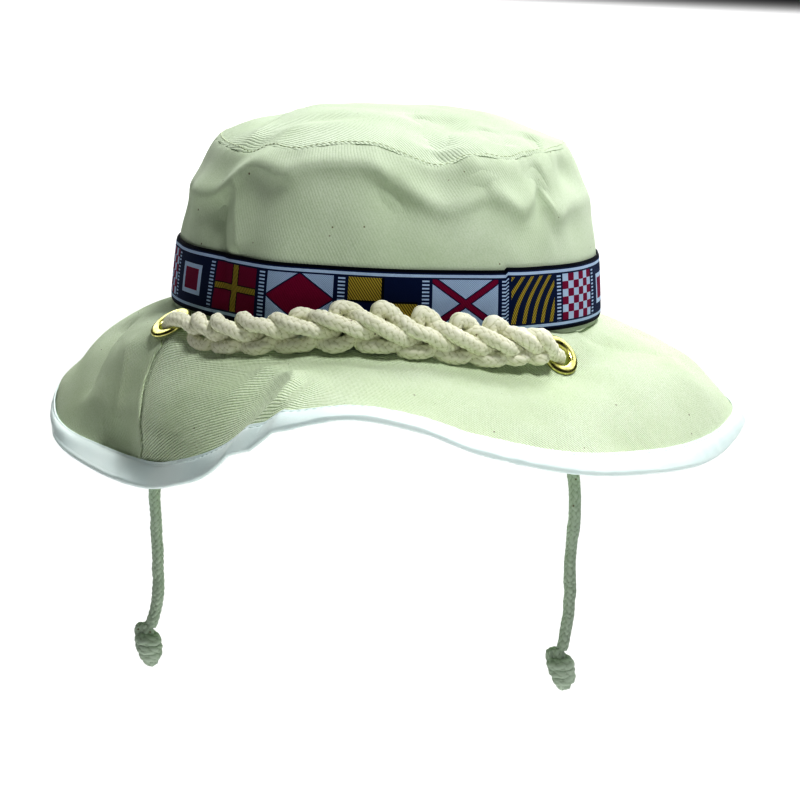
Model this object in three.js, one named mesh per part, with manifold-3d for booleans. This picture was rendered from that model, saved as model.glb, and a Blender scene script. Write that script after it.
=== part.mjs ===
// Canvas bucket hat with a woven flag ribbon, a chain-knotted cord and two hanging ties.
// Millimetres, +Z up, the front of the hat faces -Y. The origin is the middle of the head
// opening, in the plane of the seam between the crown and the brim.
// A turn is the angle round the hat in degrees: 0 at the front, 90 at +X, 180 at the back.
import * as THREE from 'three';
import { mergeVertices } from 'three/addons/utils/BufferGeometryUtils.js';
import Module from 'manifold-3d';

// Head opening: an oval of about 58 cm round
const headHalfWidth = 88;
const headHalfFront = 95;
const headHalfBack = 99;

// Crown
const crownCloth = 1.6;
const seamHeight = 70.5;
const crownLean = 9.6;
const leanPower = 1.7;
const shoulderRound = 6.2;
const tipRise = 13.8;
const tipFullness = 2.9;
const tipTilt = 0.02;

// Brim and its binding
const brimCloth = 2;
const brimWidth = 75.5;
const bindingWidth = 9.5;
const bindingCloth = 1.1;

// Ribbon
const ribbonFoot = 2.2;
const ribbonHeight = 25.4;
const ribbonThickness = 1;

// Brass eyelets in the front of the brim
const eyelets = {
  left: { turn: -49.5, out: 11.5 },
  right: { turn: 51, out: 11.8 },
};
const eyeletHole = 9.8;
const eyeletFlange = 18;
const eyeletWall = 0.7;
const flangeEdge = 0.7;
const flangeRoll = 1.4;
const washerThickness = 0.6;
const washerInset = 0.4;

// Cotton cord, its braid and its tails
const cordDiameter = 4.8;
const braidLink = 14;
const braidHalfHeight = 7.7;
const braidHalfDepth = 4.6;
const linkSwell = 0.1;
const linkWaist = 0.04;
const linkSlant = 4;
const knotHalfLength = 7.9;
const knotHalfWidth = 5.9;
const knotGroove = 0.09;
const knotGrooves = 1.6;
const grooveSlant = 0.25;
const knotLean = 0.3;

const gap = 0.3;
const degree = Math.PI / 180;

// Soft corners of the crown: out is how far they stand proud of the oval
const crownCorners = [
  { turn: -20, spread: 9, out: 3.6 },
  { turn: 37, spread: 9, out: 2.2 },
  { turn: 150, spread: 22, out: 1.5 },
];

// Tip seam: lift is its height over seamHeight, fall is how far below it the shoulder starts to round
const tipSeam = [
  { turn: -180, lift: 0, fall: 26 },
  { turn: -120, lift: 0.5, fall: 30 },
  { turn: -77, lift: -1.5, fall: 26 },
  { turn: -50, lift: -3.5, fall: 21 },
  { turn: -40, lift: -4.5, fall: 10 },
  { turn: -31, lift: -0.5, fall: 8 },
  { turn: -20, lift: -0.6, fall: 12 },
  { turn: -10, lift: 2.2, fall: 9 },
  { turn: 2, lift: 3, fall: 9 },
  { turn: 10, lift: -0.2, fall: 10 },
  { turn: 20, lift: -4.6, fall: 18 },
  { turn: 31, lift: 0.2, fall: 9 },
  { turn: 44, lift: -1.6, fall: 19 },
  { turn: 54, lift: 0, fall: 13 },
  { turn: 63, lift: 0.5, fall: 25 },
  { turn: 90, lift: 1.2, fall: 28 },
  { turn: 130, lift: 0.5, fall: 28 },
];

// Dents of the crown wall: depth is pushed in at the middle, a negative depth bulges out
const wallDents = [
  { turn: -43, height: 42, turnSpread: 6, heightSpread: 17, depth: 2.6 },
  { turn: -56, height: 50, turnSpread: 6, heightSpread: 13, depth: -2 },
  { turn: -22, height: 48, turnSpread: 10, heightSpread: 12, depth: 1.8 },
  { turn: 9, height: 52, turnSpread: 9, heightSpread: 10, depth: 1.4 },
  { turn: 33, height: 52, turnSpread: 5, heightSpread: 9, depth: 2.2 },
  { turn: 53, height: 56, turnSpread: 4, heightSpread: 12, depth: 2.2 },
  { turn: 74, height: 62, turnSpread: 7, heightSpread: 7, depth: 3 },
  { turn: 120, height: 44, turnSpread: 14, heightSpread: 14, depth: 2.2 },
  { turn: -128, height: 50, turnSpread: 12, heightSpread: 14, depth: 2.4 },
  { turn: 178, height: 40, turnSpread: 14, heightSpread: 16, depth: 1.8 },
];

// Dents of the tip, placed in plan
const tipDents = [
  { x: 27, y: -34, spreadX: 9, spreadY: 14, depth: 3.2 },
  { x: 44, y: -20, spreadX: 10, spreadY: 12, depth: 1.8 },
  { x: -46, y: -18, spreadX: 9, spreadY: 24, depth: 3 },
  { x: -22, y: -42, spreadX: 14, spreadY: 9, depth: 1.4 },
  { x: 8, y: 34, spreadX: 20, spreadY: 12, depth: 2.2 },
  { x: 60, y: 10, spreadX: 9, spreadY: 16, depth: 2 },
];

// Brim sections: how far the cloth has dropped at the near and middle lines and at the edge
const nearLine = 18;
const middleLine = 42;
const brimSections = [
  { turn: -180, near: 7, middle: 21, edge: 45 },
  { turn: -140, near: 8, middle: 24, edge: 49 },
  { turn: -112, near: 6.5, middle: 21.5, edge: 48.5 },
  { turn: -93, near: 6.5, middle: 21, edge: 48.8 },
  { turn: -79, near: 7.8, middle: 24.8, edge: 54 },
  { turn: -66, near: 8.6, middle: 28, edge: 58.6 },
  { turn: -55, near: 7.6, middle: 28.8, edge: 61.2 },
  { turn: -46, near: 8, middle: 28.4, edge: 60.8 },
  { turn: -33, near: 12.5, middle: 28, edge: 58.5 },
  { turn: -22, near: 12.5, middle: 24.5, edge: 50.5 },
  { turn: -15, near: 11, middle: 20, edge: 43 },
  { turn: -9.5, near: 9.5, middle: 16, edge: 33.5 },
  { turn: -5, near: 8.5, middle: 13, edge: 24.5 },
  { turn: 3.5, near: 7.5, middle: 11, edge: 17.2 },
  { turn: 12, near: 8, middle: 12, edge: 20.5 },
  { turn: 20, near: 9.5, middle: 14.5, edge: 29 },
  { turn: 33, near: 12, middle: 19.5, edge: 37.5 },
  { turn: 46, near: 11.5, middle: 21.5, edge: 42 },
  { turn: 60, near: 10.5, middle: 21.5, edge: 44.5 },
  { turn: 75, near: 8, middle: 18, edge: 44.5 },
  { turn: 90, near: 6, middle: 15.5, edge: 39 },
  { turn: 110, near: 6, middle: 16.5, edge: 39 },
  { turn: 145, near: 7, middle: 21, edge: 43 },
];

// Folds of the brim: out is measured along the cloth from the crown, a negative rise is a valley
const brimFolds = [
  { turn: -8, out: 52, turnSpread: 4, outSpread: 14, rise: 1.6 },
  { turn: -12, out: 40, turnSpread: 4, outSpread: 14, rise: -1.4 },
  { turn: 72, out: 16, turnSpread: 12, outSpread: 7, rise: -1.8 },
  { turn: -62, out: 34, turnSpread: 7, outSpread: 18, rise: 1.4 },
  { turn: 128, out: 48, turnSpread: 9, outSpread: 20, rise: 1.8 },
  { turn: -150, out: 50, turnSpread: 10, outSpread: 20, rise: 1.8 },
];

// Route of the braid's middle line, from one eyelet to the other: out is measured from the crown,
// size is the share of the braid's full section (the ends are a single cord)
const braidRoute = [
  { turn: -45.5, out: 12.2, height: 5.2, size: 0 },
  { turn: -43.2, out: 11.4, height: 5.2, size: 0.1 },
  { turn: -40, out: 9.6, height: 3.6, size: 0.7 },
  { turn: -35.5, out: 8.2, height: 2.6, size: 0.95 },
  { turn: -24, out: 7.4, height: 2.9, size: 1 },
  { turn: -12, out: 7.4, height: 4.6, size: 1 },
  { turn: 0, out: 7.4, height: 6.2, size: 1 },
  { turn: 12, out: 7.4, height: 5.8, size: 1 },
  { turn: 24, out: 7.4, height: 4.2, size: 1 },
  { turn: 35.5, out: 8.2, height: 2.9, size: 0.95 },
  { turn: 40, out: 9.4, height: 1.8, size: 0.7 },
  { turn: 43, out: 10.8, height: 0.8, size: 0.1 },
  { turn: 45.4, out: 11.4, height: -0.4, size: 0 },
];

// Routes of the two tails, from under the eyelets down to their knots
const tailLeftRoute = [
  [-77.35, -66.05, -9.85], [-76.85, -65.65, -13.8], [-77, -66, -19], [-77.9, -66.9, -27],
  [-79, -68, -36], [-80.1, -69.1, -45.5], [-80.8, -70, -55], [-81, -70.7, -64], [-80.6, -71, -73],
  [-79.9, -71, -82], [-79.2, -71, -91], [-78.6, -71, -99.5], [-78.2, -71, -107.5],
  [-78.5, -71, -114.5], [-79.6, -71, -120.3], [-81, -71, -125],
];
const tailRightRoute = [
  [76.88, -62.26, -13.48], [76.05, -61.6, -17.3], [75.9, -61.7, -22.3], [77.2, -62.8, -28],
  [79.8, -64.7, -34.5], [82.6, -66.8, -41], [85, -68.7, -48], [86.6, -70.1, -55.5],
  [87.2, -70.8, -63.5], [87.2, -71, -72], [86.8, -71, -80.5], [86.6, -71, -88.5], [87, -71, -96],
  [87.2, -71, -103.5], [86.9, -71, -111], [86.1, -71, -117], [85.2, -71, -122],
];

const canvasMaterial = new THREE.MeshStandardMaterial({ color: 0xe6e4c4, roughness: 0.9, metalness: 0 });
const bindingMaterial = new THREE.MeshStandardMaterial({ color: 0xe4efe9, roughness: 0.55, metalness: 0 });
const ribbonMaterial = new THREE.MeshStandardMaterial({ color: 0x1c2b4a, roughness: 0.6, metalness: 0 });
const cordMaterial = new THREE.MeshStandardMaterial({ color: 0xdcd9bb, roughness: 0.95, metalness: 0 });
const brassMaterial = new THREE.MeshStandardMaterial({ color: 0xc9a94a, roughness: 0.3, metalness: 1 });

const hat = new THREE.Group();
const wasm = await Module();
wasm.setup();

function addPiece(name, geometry, material) {
  const piece = new THREE.Mesh(geometry, material);
  piece.name = name;
  hat.add(piece);
  return piece;
}

// Smooth value of one column of a table between its rows; a period wraps the table round.
function tableValue(rows, place, column, at, period = 0) {
  const count = rows.length;
  const pick = (index) => {
    if (!period) {
      const row = rows[Math.min(Math.max(index, 0), count - 1)];
      return { place: row[place], value: row[column] };
    }
    const lap = Math.floor(index / count);
    const row = rows[index - lap * count];
    return { place: row[place] + lap * period, value: row[column] };
  };
  const start = rows[0][place];
  const spot = period ? start + ((((at - start) % period) + period) % period) : at;
  let index = 0;
  while (index < count - (period ? 1 : 2) && pick(index + 1).place <= spot) {
    index += 1;
  }
  const [a, b, c, d] = [pick(index - 1), pick(index), pick(index + 1), pick(index + 2)];
  const span = c.place - b.place;
  const t = (spot - b.place) / span;
  const slopeB = ((c.value - a.value) / (c.place - a.place)) * span;
  const slopeC = ((d.value - b.value) / (d.place - b.place)) * span;
  const rise = c.value - b.value;
  return b.value + t * (slopeB + t * (3 * rise - 2 * slopeB - slopeC + t * (slopeB + slopeC - 2 * rise)));
}

function turnBetween(turn, other) {
  return ((((turn - other + 180) % 360) + 360) % 360) - 180;
}

function bell(distance, spread) {
  return Math.exp(-((distance / spread) ** 2));
}

function headRadius(turn) {
  const across = Math.sin(turn * degree) / headHalfWidth;
  const ahead = Math.cos(turn * degree);
  const along = ahead / (ahead > 0 ? headHalfFront : headHalfBack);
  let radius = 1 / Math.hypot(across, along);
  for (const corner of crownCorners) {
    radius += corner.out * bell(turnBetween(turn, corner.turn), corner.spread);
  }
  return radius;
}

function tipSeamHeight(turn) {
  return seamHeight + tableValue(tipSeam, 'turn', 'lift', turn, 360);
}

function wallRadius(turn, height) {
  const top = tipSeamHeight(turn);
  const fall = tableValue(tipSeam, 'turn', 'fall', turn, 360);
  const rounding = Math.max(0, (height - top + fall) / fall);
  let inset = crownLean * Math.max(0, height / seamHeight) ** leanPower + shoulderRound * rounding ** 2;
  for (const dent of wallDents) {
    const aside = bell(turnBetween(turn, dent.turn), dent.turnSpread);
    inset += dent.depth * aside * bell(height - dent.height, dent.heightSpread);
  }
  return headRadius(turn) - inset;
}

// Drop of the brim's upper face below the head seam, at a distance out along the cloth
function brimDrop(turn, out) {
  const line = [
    { out: 0, drop: 0 },
    { out: nearLine, drop: tableValue(brimSections, 'turn', 'near', turn, 360) },
    { out: middleLine, drop: tableValue(brimSections, 'turn', 'middle', turn, 360) },
    { out: brimWidth, drop: tableValue(brimSections, 'turn', 'edge', turn, 360) },
  ];
  let drop = tableValue(line, 'out', 'drop', out);
  for (const fold of brimFolds) {
    const aside = bell(turnBetween(turn, fold.turn), fold.turnSpread);
    drop -= fold.rise * aside * bell(out - fold.out, fold.outSpread);
  }
  return drop;
}

// The cloth keeps its width: each millimetre along it goes as far out as its drop leaves over
function brimCurve(turn, outs) {
  const steps = 50;
  const length = brimWidth / steps;
  const reach = [0];
  for (let i = 0; i < steps; i += 1) {
    const fallen = brimDrop(turn, (i + 1) * length) - brimDrop(turn, i * length);
    reach.push(reach[i] + Math.sqrt(Math.max(0, length ** 2 - fallen ** 2)));
  }
  return outs.map((out) => {
    const i = Math.min(Math.floor(out / length), steps - 1);
    const r = headRadius(turn) + THREE.MathUtils.lerp(reach[i], reach[i + 1], out / length - i);
    return { r, z: -brimDrop(turn, out) };
  });
}

// Moves a line in the section plane to the left of its run
function offsetLine(line, distance) {
  return line.map((point, i) => {
    const before = line[Math.max(i - 1, 0)];
    const after = line[Math.min(i + 1, line.length - 1)];
    const length = Math.hypot(after.r - before.r, after.z - before.z);
    return {
      r: point.r - (distance * (after.z - before.z)) / length,
      z: point.z + (distance * (after.r - before.r)) / length,
    };
  });
}

// Turns of the sections: closer together over the front, where the cloth has its folds
function sectionTurns() {
  const frontEnd = 64;
  const frontStep = 4;
  const backSteps = 29;
  const turns = [];
  for (let turn = -frontEnd; turn < frontEnd; turn += frontStep) {
    turns.push(turn);
  }
  for (let i = 0; i < backSteps; i += 1) {
    turns.push(frontEnd + (i * (360 - 2 * frontEnd)) / backSteps);
  }
  return turns;
}

function placed(turn, point) {
  return [point.r * Math.sin(turn * degree), -point.r * Math.cos(turn * degree), point.z];
}

function indexedGeometry(positions, index) {
  const geometry = new THREE.BufferGeometry();
  geometry.setAttribute('position', new THREE.Float32BufferAttribute(positions, 3));
  geometry.setIndex(index);
  geometry.computeVertexNormals();
  return geometry;
}

// A closed ring round the hat. Each section is a closed loop, counterclockwise seen with r to the
// right and z up; the loop's edges from crossFrom on are split along the other diagonal.
function ringSolid(sectionAt, crossFrom = Infinity) {
  const turns = sectionTurns();
  const sections = turns.map((turn) => sectionAt(turn).map((point) => placed(turn, point)));
  const size = sections[0].length;
  const index = [];
  for (let i = 0; i < turns.length; i += 1) {
    const here = i * size;
    const next = ((i + 1) % turns.length) * size;
    for (let j = 0; j < size; j += 1) {
      const k = (j + 1) % size;
      if (j >= crossFrom) {
        index.push(here + j, next + j, next + k, here + j, next + k, here + k);
      } else {
        index.push(here + j, next + j, here + k, next + j, next + k, here + k);
      }
    }
  }
  return indexedGeometry(sections.flat(2), index);
}

// A tube of changing section: rings of points, closed by a fan at both ends
function loftedSolid(rings) {
  const size = rings[0].length;
  const index = [];
  for (let i = 0; i + 1 < rings.length; i += 1) {
    for (let j = 0; j < size; j += 1) {
      const k = (j + 1) % size;
      const here = i * size;
      const next = here + size;
      index.push(here + j, here + k, next + j, here + k, next + k, next + j);
    }
  }
  const last = (rings.length - 1) * size;
  for (let j = 1; j + 1 < size; j += 1) {
    index.push(0, j + 1, j, last, last + j, last + j + 1);
  }
  return indexedGeometry(rings.flat(2), index);
}

function toManifold(geometry) {
  const bare = geometry.clone();
  bare.deleteAttribute('normal');
  bare.deleteAttribute('uv');
  const merged = mergeVertices(bare, 1e-4);
  const vertProperties = Float32Array.from(merged.attributes.position.array);
  const triVerts = Uint32Array.from(merged.index.array);
  return new wasm.Manifold(new wasm.Mesh({ numProp: 3, vertProperties, triVerts }));
}

function fromManifold(solid) {
  const mesh = solid.getMesh();
  return indexedGeometry(Array.from(mesh.vertProperties), Array.from(mesh.triVerts));
}

// Crown: the wall and the tip meet along the tip seam with a mitred edge
const wallLevels = [0, 0.2, 0.4, 0.58, 0.74, 0.88, 1];

function wallLine(turn) {
  const top = tipSeamHeight(turn);
  return wallLevels.map((level) => {
    const z = gap + level * (top - gap);
    return { r: wallRadius(turn, z), z };
  });
}

function crownSide() {
  return ringSolid((turn) => {
    const outside = wallLine(turn);
    return [...outside, ...offsetLine(outside, crownCloth).reverse()];
  });
}

function tipHeight(x, y, share, lift) {
  let z = seamHeight + tipRise * (1 - share ** tipFullness) + tipTilt * x * (1 - share ** 2);
  z += lift * share ** 3;
  for (const dent of tipDents) {
    const depth = dent.depth * bell(x - dent.x, dent.spreadX) * bell(y - dent.y, dent.spreadY);
    z -= depth * (1 - share ** 8);
  }
  return z;
}

function crownTop() {
  const shares = [0.93, 0.82, 0.66, 0.48, 0.26];
  const turns = sectionTurns();
  const outer = [];
  const inner = [];
  for (const turn of turns) {
    const outside = wallLine(turn);
    const inside = offsetLine(outside, crownCloth);
    const [below, edge] = outside.slice(-2);
    const length = Math.hypot(edge.r - below.r, edge.z - below.z);
    const ahead = { r: ((edge.r - below.r) * gap) / length, z: ((edge.z - below.z) * gap) / length };
    const rim = { r: edge.r + ahead.r, z: edge.z + ahead.z };
    const insideRim = { r: inside.at(-1).r + ahead.r, z: inside.at(-1).z + ahead.z };
    const skin = shares.map((share) => {
      const r = rim.r * share;
      const [x, y] = placed(turn, { r, z: 0 });
      return { r, z: tipHeight(x, y, share, rim.z - seamHeight) };
    });
    outer.push([rim, ...skin].map((point) => placed(turn, point)));
    const under = skin.map((point) => ({ r: point.r * (insideRim.r / rim.r), z: point.z - crownCloth }));
    inner.push([insideRim, ...under].map((point) => placed(turn, point)));
  }
  const apex = tipHeight(0, 0, 0, 0);
  const size = shares.length + 1;
  const positions = [...outer.flat(2), ...inner.flat(2), 0, 0, apex, 0, 0, apex - crownCloth];
  const innerStart = turns.length * size;
  const topPole = 2 * innerStart;
  const bottomPole = topPole + 1;
  const index = [];
  turns.forEach((_, i) => {
    const here = i * size;
    const next = ((i + 1) % turns.length) * size;
    const [innerHere, innerNext] = [here + innerStart, next + innerStart];
    for (let j = 0; j + 1 < size; j += 1) {
      index.push(here + j, next + j, here + j + 1, next + j, next + j + 1, here + j + 1);
      index.push(innerHere + j, innerHere + j + 1, innerNext + j);
      index.push(innerNext + j, innerHere + j + 1, innerNext + j + 1);
    }
    index.push(here + size - 1, next + size - 1, topPole);
    index.push(innerNext + size - 1, innerHere + size - 1, bottomPole);
    index.push(here, innerHere, next, next, innerHere, innerNext);
  });
  return indexedGeometry(positions, index);
}

// Brim: the crown wall stands on its inner edge
const brimOuts = [0, 7, 14, 22, 32, 43, 54, brimWidth - bindingWidth, brimWidth];

function brimLine(turn) {
  const line = brimCurve(turn, brimOuts);
  line[0].r -= crownCloth;
  return line;
}

function brimRing() {
  return ringSolid((turn) => {
    const upper = brimLine(turn);
    return [...offsetLine(upper, -brimCloth), ...upper.reverse()];
  });
}

// Binding: a folded strip round the brim's edge, its inner faces the gap away from the cloth
function brimBinding() {
  const outerFaces = 5;
  return ringSolid((turn) => {
    const [start, end] = brimLine(turn).slice(-2);
    const length = Math.hypot(end.r - start.r, end.z - start.z);
    const run = { r: (end.r - start.r) / length, z: (end.z - start.z) / length };
    const at = (along, up) => ({
      r: start.r + run.r * along - run.z * up,
      z: start.z + run.z * along + run.r * up,
    });
    const fold = length + gap;
    const lower = -brimCloth - gap;
    return [
      at(0, lower - bindingCloth),
      at(fold, lower - bindingCloth),
      at(fold + bindingCloth, lower),
      at(fold + bindingCloth, gap),
      at(fold, gap + bindingCloth),
      at(0, gap + bindingCloth),
      at(0, gap),
      at(fold, gap),
      at(fold, lower),
      at(0, lower),
    ];
  }, outerFaces + 1);
}

function flagBand() {
  const heights = [0, 0.5, 1].map((share) => ribbonFoot + share * ribbonHeight);
  return ringSolid((turn) => {
    const wall = heights.map((z) => ({ r: wallRadius(turn, z), z }));
    return [...offsetLine(wall, -gap - ribbonThickness), ...offsetLine(wall, -gap).reverse()];
  }, heights.length);
}

// Where an eyelet sits: its group's Z runs out of the cloth's upper face
function eyeletSeat({ turn, out }) {
  const half = eyeletFlange / 2;
  const [inner, middle, outer] = brimCurve(turn, [out - half, out, out + half]);
  const tilt = Math.atan2(inner.z - outer.z, outer.r - inner.r);
  const seat = new THREE.Group();
  seat.position.set(...placed(turn, middle));
  seat.rotation.set(0, tilt, (turn - 90) * degree, 'ZYX');
  seat.updateMatrixWorld();
  return seat;
}

function turnedRound(profile, sides) {
  const geometry = new THREE.LatheGeometry(profile.map(([r, z]) => new THREE.Vector2(r, z)), sides);
  return geometry.rotateX(Math.PI / 2);
}

function eyelet(spot) {
  const bore = eyeletHole / 2;
  const barrel = bore + eyeletWall;
  const flange = eyeletFlange / 2;
  const washer = flange - washerInset;
  const washerTop = -brimCloth - gap;
  const washerBottom = washerTop - washerThickness;
  const shoulder = gap + flangeEdge;
  const roll = gap + flangeRoll;
  const sides = 18;
  const profile = [
    [bore, washerBottom], [washer, washerBottom], [washer, washerTop], [barrel, washerTop],
    [barrel, gap], [flange, gap], [flange, shoulder], [(bore + flange) / 2, roll],
    [barrel, roll], [bore, shoulder], [bore, washerBottom],
  ];
  return turnedRound(profile, sides).applyMatrix4(eyeletSeat(spot).matrixWorld);
}

// Room for an eyelet in the brim: the hole, and the beds of its flange and washer
function eyeletRoom(spot) {
  const flange = eyeletFlange / 2 + gap;
  const hole = eyeletHole / 2 + eyeletWall + gap;
  const slack = 0.03;
  const depth = 5;
  const profile = [
    [0, -brimCloth - depth], [flange, -brimCloth - depth], [flange, -brimCloth - slack],
    [hole, -brimCloth - slack], [hole, slack], [flange, slack], [flange, depth], [0, depth],
  ];
  const sides = 24;
  return turnedRound(profile, sides).applyMatrix4(eyeletSeat(spot).matrixWorld);
}

function brimWithHoles() {
  const rooms = Object.values(eyelets).map((spot) => toManifold(eyeletRoom(spot)));
  const cloth = rooms.reduce((solid, room) => solid.subtract(room), toManifold(brimRing()));
  return fromManifold(cloth);
}

// The cord's way through an eyelet, from under the washer up: out is down the slope from its middle
const throughEyelet = [
  { out: 2.7, level: -4.6 },
  { out: 2, level: -2.4 },
  { out: 1, level: 0 },
  { out: 0.2, level: 3 },
  { out: 0, level: 5.8 },
];

// Braid: its middle line runs from below one eyelet, along the crown, to below the other
function braidLine() {
  const points = [];
  const sizes = [];
  const addThrough = (spot, rows) => {
    const seat = eyeletSeat(spot);
    for (const { out, level } of rows) {
      points.push(new THREE.Vector3(out, 0, level).applyMatrix4(seat.matrixWorld));
      sizes.push(0);
    }
  };
  addThrough(eyelets.left, throughEyelet);
  for (const row of braidRoute) {
    const r = headRadius(row.turn) + row.out;
    points.push(new THREE.Vector3(...placed(row.turn, { r, z: row.height })));
    sizes.push(row.size);
  }
  addThrough(eyelets.right, throughEyelet.toReversed());
  return { curve: new THREE.CatmullRomCurve3(points, false, 'centripetal'), sizes };
}

function braid() {
  const { curve, sizes } = braidLine();
  const length = curve.getLength();
  const rings = [];
  const ringsPerLink = 5;
  const count = Math.round((length / braidLink) * ringsPerLink);
  const sides = 12;
  const up = new THREE.Vector3(0, 0, 1);
  const steepest = 0.5;
  let across = new THREE.Vector3(0, 1, 0);
  for (let i = 0; i <= count; i += 1) {
    const t = curve.getUtoTmapping(i / count);
    const centre = curve.getPoint(t);
    const ahead = curve.getTangent(t);
    const place = t * (sizes.length - 1);
    const low = Math.floor(Math.min(place, sizes.length - 2));
    const size = THREE.MathUtils.lerp(sizes[low], sizes[low + 1], place - low);
    const wanted = up.clone().cross(ahead);
    if (wanted.length() > steepest) {
      across = wanted.normalize();
    }
    const side = across.clone().addScaledVector(ahead, -across.dot(ahead)).normalize();
    const rise = ahead.clone().cross(side).normalize();
    const ring = [];
    for (let j = 0; j < sides; j += 1) {
      const angle = (2 * Math.PI * j) / sides;
      const height = Math.sin(angle);
      const along = (i / count) * length + linkSlant * Math.abs(height);
      const swell = size * (linkSwell * Math.cos((2 * Math.PI * along) / braidLink) - linkWaist);
      const radius = cordDiameter / 2;
      const wide = radius + size * (braidHalfDepth - radius) + swell * braidHalfDepth;
      const tall = radius + size * (braidHalfHeight - radius) + swell * braidHalfHeight;
      const point = centre.clone();
      point.addScaledVector(side, wide * Math.cos(angle));
      point.addScaledVector(rise, tall * height);
      ring.push(point.toArray());
    }
    rings.push(ring);
  }
  return loftedSolid(rings);
}

// Tail: a round cord along its route
function tail(route) {
  const curve = new THREE.CatmullRomCurve3(route.map((point) => new THREE.Vector3(...point)));
  const section = new THREE.Shape();
  const sides = 8;
  for (let i = 0; i < sides; i += 1) {
    const angle = (2 * Math.PI * i) / sides;
    const [x, y] = [(cordDiameter / 2) * Math.cos(angle), (cordDiameter / 2) * Math.sin(angle)];
    if (i === 0) {
      section.moveTo(x, y);
    } else {
      section.lineTo(x, y);
    }
  }
  section.closePath();
  const steps = Math.round(curve.getLength() / (2 * cordDiameter));
  return new THREE.ExtrudeGeometry(section, { steps, extrudePath: curve, curveSegments: 1 });
}

// Knot: the cord's overhand turns as one egg with two grooves round it, tipped to one side
function knot(route, lean) {
  const end = new THREE.Vector3(...route.at(-1));
  const before = new THREE.Vector3(...route.at(-2));
  const ahead = end.clone().sub(before).normalize();
  const geometry = new THREE.SphereGeometry(1, 14, 10);
  const position = geometry.attributes.position;
  const point = new THREE.Vector3();
  for (let i = 0; i < position.count; i += 1) {
    point.fromBufferAttribute(position, i);
    const along = point.y + grooveSlant * point.x;
    const depth = knotGroove * Math.cos(2 * Math.PI * knotGrooves * along) * (1 - point.y ** 4);
    const wide = knotHalfWidth * (1 - depth);
    position.setXYZ(i, point.x * wide, point.y * knotHalfLength, point.z * wide);
  }
  const drop = knotHalfLength + 2 * gap;
  const tipped = new THREE.Quaternion().setFromEuler(new THREE.Euler(Math.PI / 2, lean, 0));
  geometry.applyQuaternion(tipped);
  const centre = end.addScaledVector(ahead, drop);
  return geometry.translate(centre.x, centre.y, centre.z);
}

addPiece('crown_side', crownSide(), canvasMaterial);
addPiece('crown_top', crownTop(), canvasMaterial);
addPiece('brim', brimWithHoles(), canvasMaterial);
addPiece('brim_binding', brimBinding(), bindingMaterial);
addPiece('flag_band', flagBand(), ribbonMaterial);
addPiece('eyelet_left', eyelet(eyelets.left), brassMaterial);
addPiece('eyelet_right', eyelet(eyelets.right), brassMaterial);
addPiece('braid', braid(), cordMaterial);
addPiece('cord_left', tail(tailLeftRoute), cordMaterial);
addPiece('cord_right', tail(tailRightRoute), cordMaterial);
addPiece('knot_left', knot(tailLeftRoute, knotLean), cordMaterial);
addPiece('knot_right', knot(tailRightRoute, -knotLean), cordMaterial);

export default hat;
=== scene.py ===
# Canvas bucket hat: flag ribbon, chain-knotted cord, brass eyelets and two knotted ties.
# Shapes are worked out in millimetres and turned into metres where the meshes are made.
# A turn is the angle round the hat: 0 at the front (-Y), 90 at +X, 180 at the back.
import math

import bpy
import numpy as np
from mathutils import Matrix, Vector


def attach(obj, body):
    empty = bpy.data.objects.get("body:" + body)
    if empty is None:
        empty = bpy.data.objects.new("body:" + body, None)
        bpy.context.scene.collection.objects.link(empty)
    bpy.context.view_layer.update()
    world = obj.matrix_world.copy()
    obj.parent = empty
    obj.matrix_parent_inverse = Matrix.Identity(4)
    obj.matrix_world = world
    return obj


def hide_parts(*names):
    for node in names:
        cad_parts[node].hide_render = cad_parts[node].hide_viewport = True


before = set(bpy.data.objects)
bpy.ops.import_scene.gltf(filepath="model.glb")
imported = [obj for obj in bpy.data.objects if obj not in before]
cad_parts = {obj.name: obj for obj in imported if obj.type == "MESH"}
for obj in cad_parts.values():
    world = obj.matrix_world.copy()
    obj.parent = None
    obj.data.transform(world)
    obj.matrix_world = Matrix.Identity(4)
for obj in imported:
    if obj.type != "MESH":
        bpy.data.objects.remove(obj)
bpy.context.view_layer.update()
mm = 0.001
print("hat: frame loaded with", len(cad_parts), "nodes")

# camera
view = {
    "azimuth": 7.1,       # from the front towards +X
    "elevation": 9.48,
    "roll": 2.5,
    "distance": 1.134,
    "aside": 0.0075,      # the point looked at, to the right of the hat's middle
    "below": 0.0385,
    "lens": 121.4, "film": 36, "farthest": 200,
}


def addObject(name, data):
    made = bpy.data.objects.new(name, data)
    bpy.context.scene.collection.objects.link(made)
    return made


def addCamera():
    azimuth, elevation, roll = (math.radians(view[k]) for k in ("azimuth", "elevation", "roll"))
    level = math.cos(elevation)
    back = Vector((math.sin(azimuth) * level, -math.cos(azimuth) * level, math.sin(elevation)))
    right = Vector((math.cos(azimuth), math.sin(azimuth), 0))
    up = back.cross(right)
    target = right * view["aside"] - Vector((0, 0, view["below"]))
    tiltedRight = right * math.cos(roll) + up * math.sin(roll)
    tiltedUp = up * math.cos(roll) - right * math.sin(roll)
    data = bpy.data.cameras.new("camera")
    data.lens = view["lens"]
    data.sensor_width = view["film"]
    data.clip_end = view["farthest"]
    camera = addObject("camera", data)
    turned = Matrix((tiltedRight, tiltedUp, back)).transposed().to_4x4()
    camera.matrix_world = Matrix.Translation(target + back * view["distance"]) @ turned
    bpy.context.scene.camera = camera


addCamera()


# maths shared by the pieces
def bell(distance, spread):
    return np.exp(-((distance / spread) ** 2))


def turnGap(turn, other):
    return (turn - other + 180) % 360 - 180


def hermite(start, end, startSlope, endSlope, t):
    rise = end - start
    bend = startSlope + endSlope - 2 * rise
    return start + t * (startSlope + t * (3 * rise - 2 * startSlope - endSlope + t * bend))


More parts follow.
